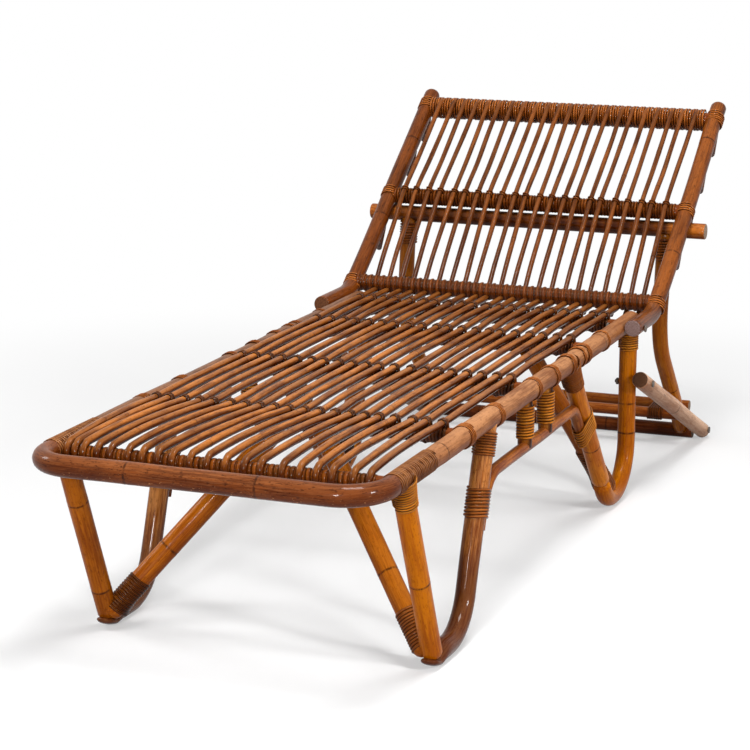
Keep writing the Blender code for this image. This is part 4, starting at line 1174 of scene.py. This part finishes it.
# floor, light and camera
stageSize = {"floor": 40.0, "near": 0.37, "farFrom": 0.9, "farTo": 2.2, "dim": 0.44, "seen": 0.86,
             "world": 0.17}


# the rays that meet the background as it looks: the camera's, and those of bright and of clear things
def seeingRays(make):
    camera, glossy, clear = [make.node("ShaderNodeLightPath", None, None, out)
                             for out in ("Is Camera Ray", "Is Glossy Ray", "Is Transmission Ray")]
    return (camera + glossy + clear).between(0.0, 1.0)


def floorSkin():
    material, make = freshMaterial("pale_floor")
    place = make.node("ShaderNodeTexCoord", None, None, 3)
    spread = make.node("ShaderNodeVectorMath", {"operation": "LENGTH"}, {0: place}, 1)
    far = spread.between(stageSize["farFrom"], stageSize["farTo"])
    path = seeingRays(make)
    dim, seen = [make.node("ShaderNodeBsdfDiffuse", None, {"Color": (stageSize[key],) * 3 + (1,)})
                 for key in ("dim", "seen")]
    ground = make.node("ShaderNodeMixShader", None, {0: path, 1: dim, 2: seen})
    glow = make.node("ShaderNodeEmission", None, {"Color": (1, 1, 1, 1), "Strength": 1.0})
    share = path * (stageSize["near"] + far * (1 - stageSize["near"]))
    mixed = make.node("ShaderNodeMixShader", None, {0: share, 1: ground, 2: glow})
    make.node("ShaderNodeOutputMaterial", None, {0: mixed})
    return material


bm = bmesh.new()
bmesh.ops.create_grid(bm, x_segments=1, y_segments=1, size=stageSize["floor"] / 2)
floorMesh = bpy.data.meshes.new("studio_floor")
bm.to_mesh(floorMesh)
bm.free()
floor = bpy.data.objects.new("studio_floor", floorMesh)
scene.collection.objects.link(floor)
floorMesh.materials.append(floorSkin())

lightSize = {
    "over": {"at": (0.6, -0.6, 3.4), "aim": (0, 0, 0.2), "size": 1.1, "power": 100.0},
    "right": {"at": (3.3, -1.4, 1.8), "aim": (0, 0.1, 0.3), "size": 0.55, "power": 78.0},
    "left": {"at": (-3.2, -0.6, 2.2), "aim": (0, 0.1, 0.3), "size": 0.8, "power": 38.0},
    "front": {"at": (0.4, -4.2, 1.4), "aim": (0, -0.2, 0.3), "size": 0.6, "power": 92.0},
}
for name, light in lightSize.items():
    lamp = bpy.data.lights.new("softbox_" + name, "AREA")
    lamp.shape = "SQUARE"
    lamp.size = light["size"]
    lamp.energy = light["power"]
    box = bpy.data.objects.new("softbox_" + name, lamp)
    aim = Vector(light["aim"]) - Vector(light["at"])
    box.matrix_world = Matrix.Translation(light["at"]) @ aim.to_track_quat("-Z", "Y").to_matrix().to_4x4()
    scene.collection.objects.link(box)

world = bpy.data.worlds.new("studio_world")
world.use_nodes = True
world.node_tree.nodes.clear()
make = Wire(world.node_tree)
path = seeingRays(make)
soft = make.node("ShaderNodeBackground", None, {"Color": (1, 1, 1, 1), "Strength": stageSize["world"]})
white = make.node("ShaderNodeBackground", None, {"Color": (1, 1, 1, 1), "Strength": 1.0})
mixed = make.node("ShaderNodeMixShader", None, {0: path, 1: soft, 2: white})
make.node("ShaderNodeOutputWorld", None, {0: mixed})
scene.world = world

cameraSize = {"at": (1.5302, -3.2696, 1.3028), "tilt": 77.223, "roll": -0.104, "turn": 21.05,
              "sensor": 36, "lens": 123.475}
lens = bpy.data.cameras.new("photo_camera")
lens.sensor_width = cameraSize["sensor"]
lens.lens = cameraSize["lens"]
camera = bpy.data.objects.new("photo_camera", lens)
camera.location = spot(*cameraSize["at"])
camera.rotation_euler = [math.radians(cameraSize[key]) for key in ("tilt", "roll", "turn")]
scene.collection.objects.link(camera)
scene.camera = camera
scene.view_settings.view_transform = "Standard"
print("stage, light and camera set")
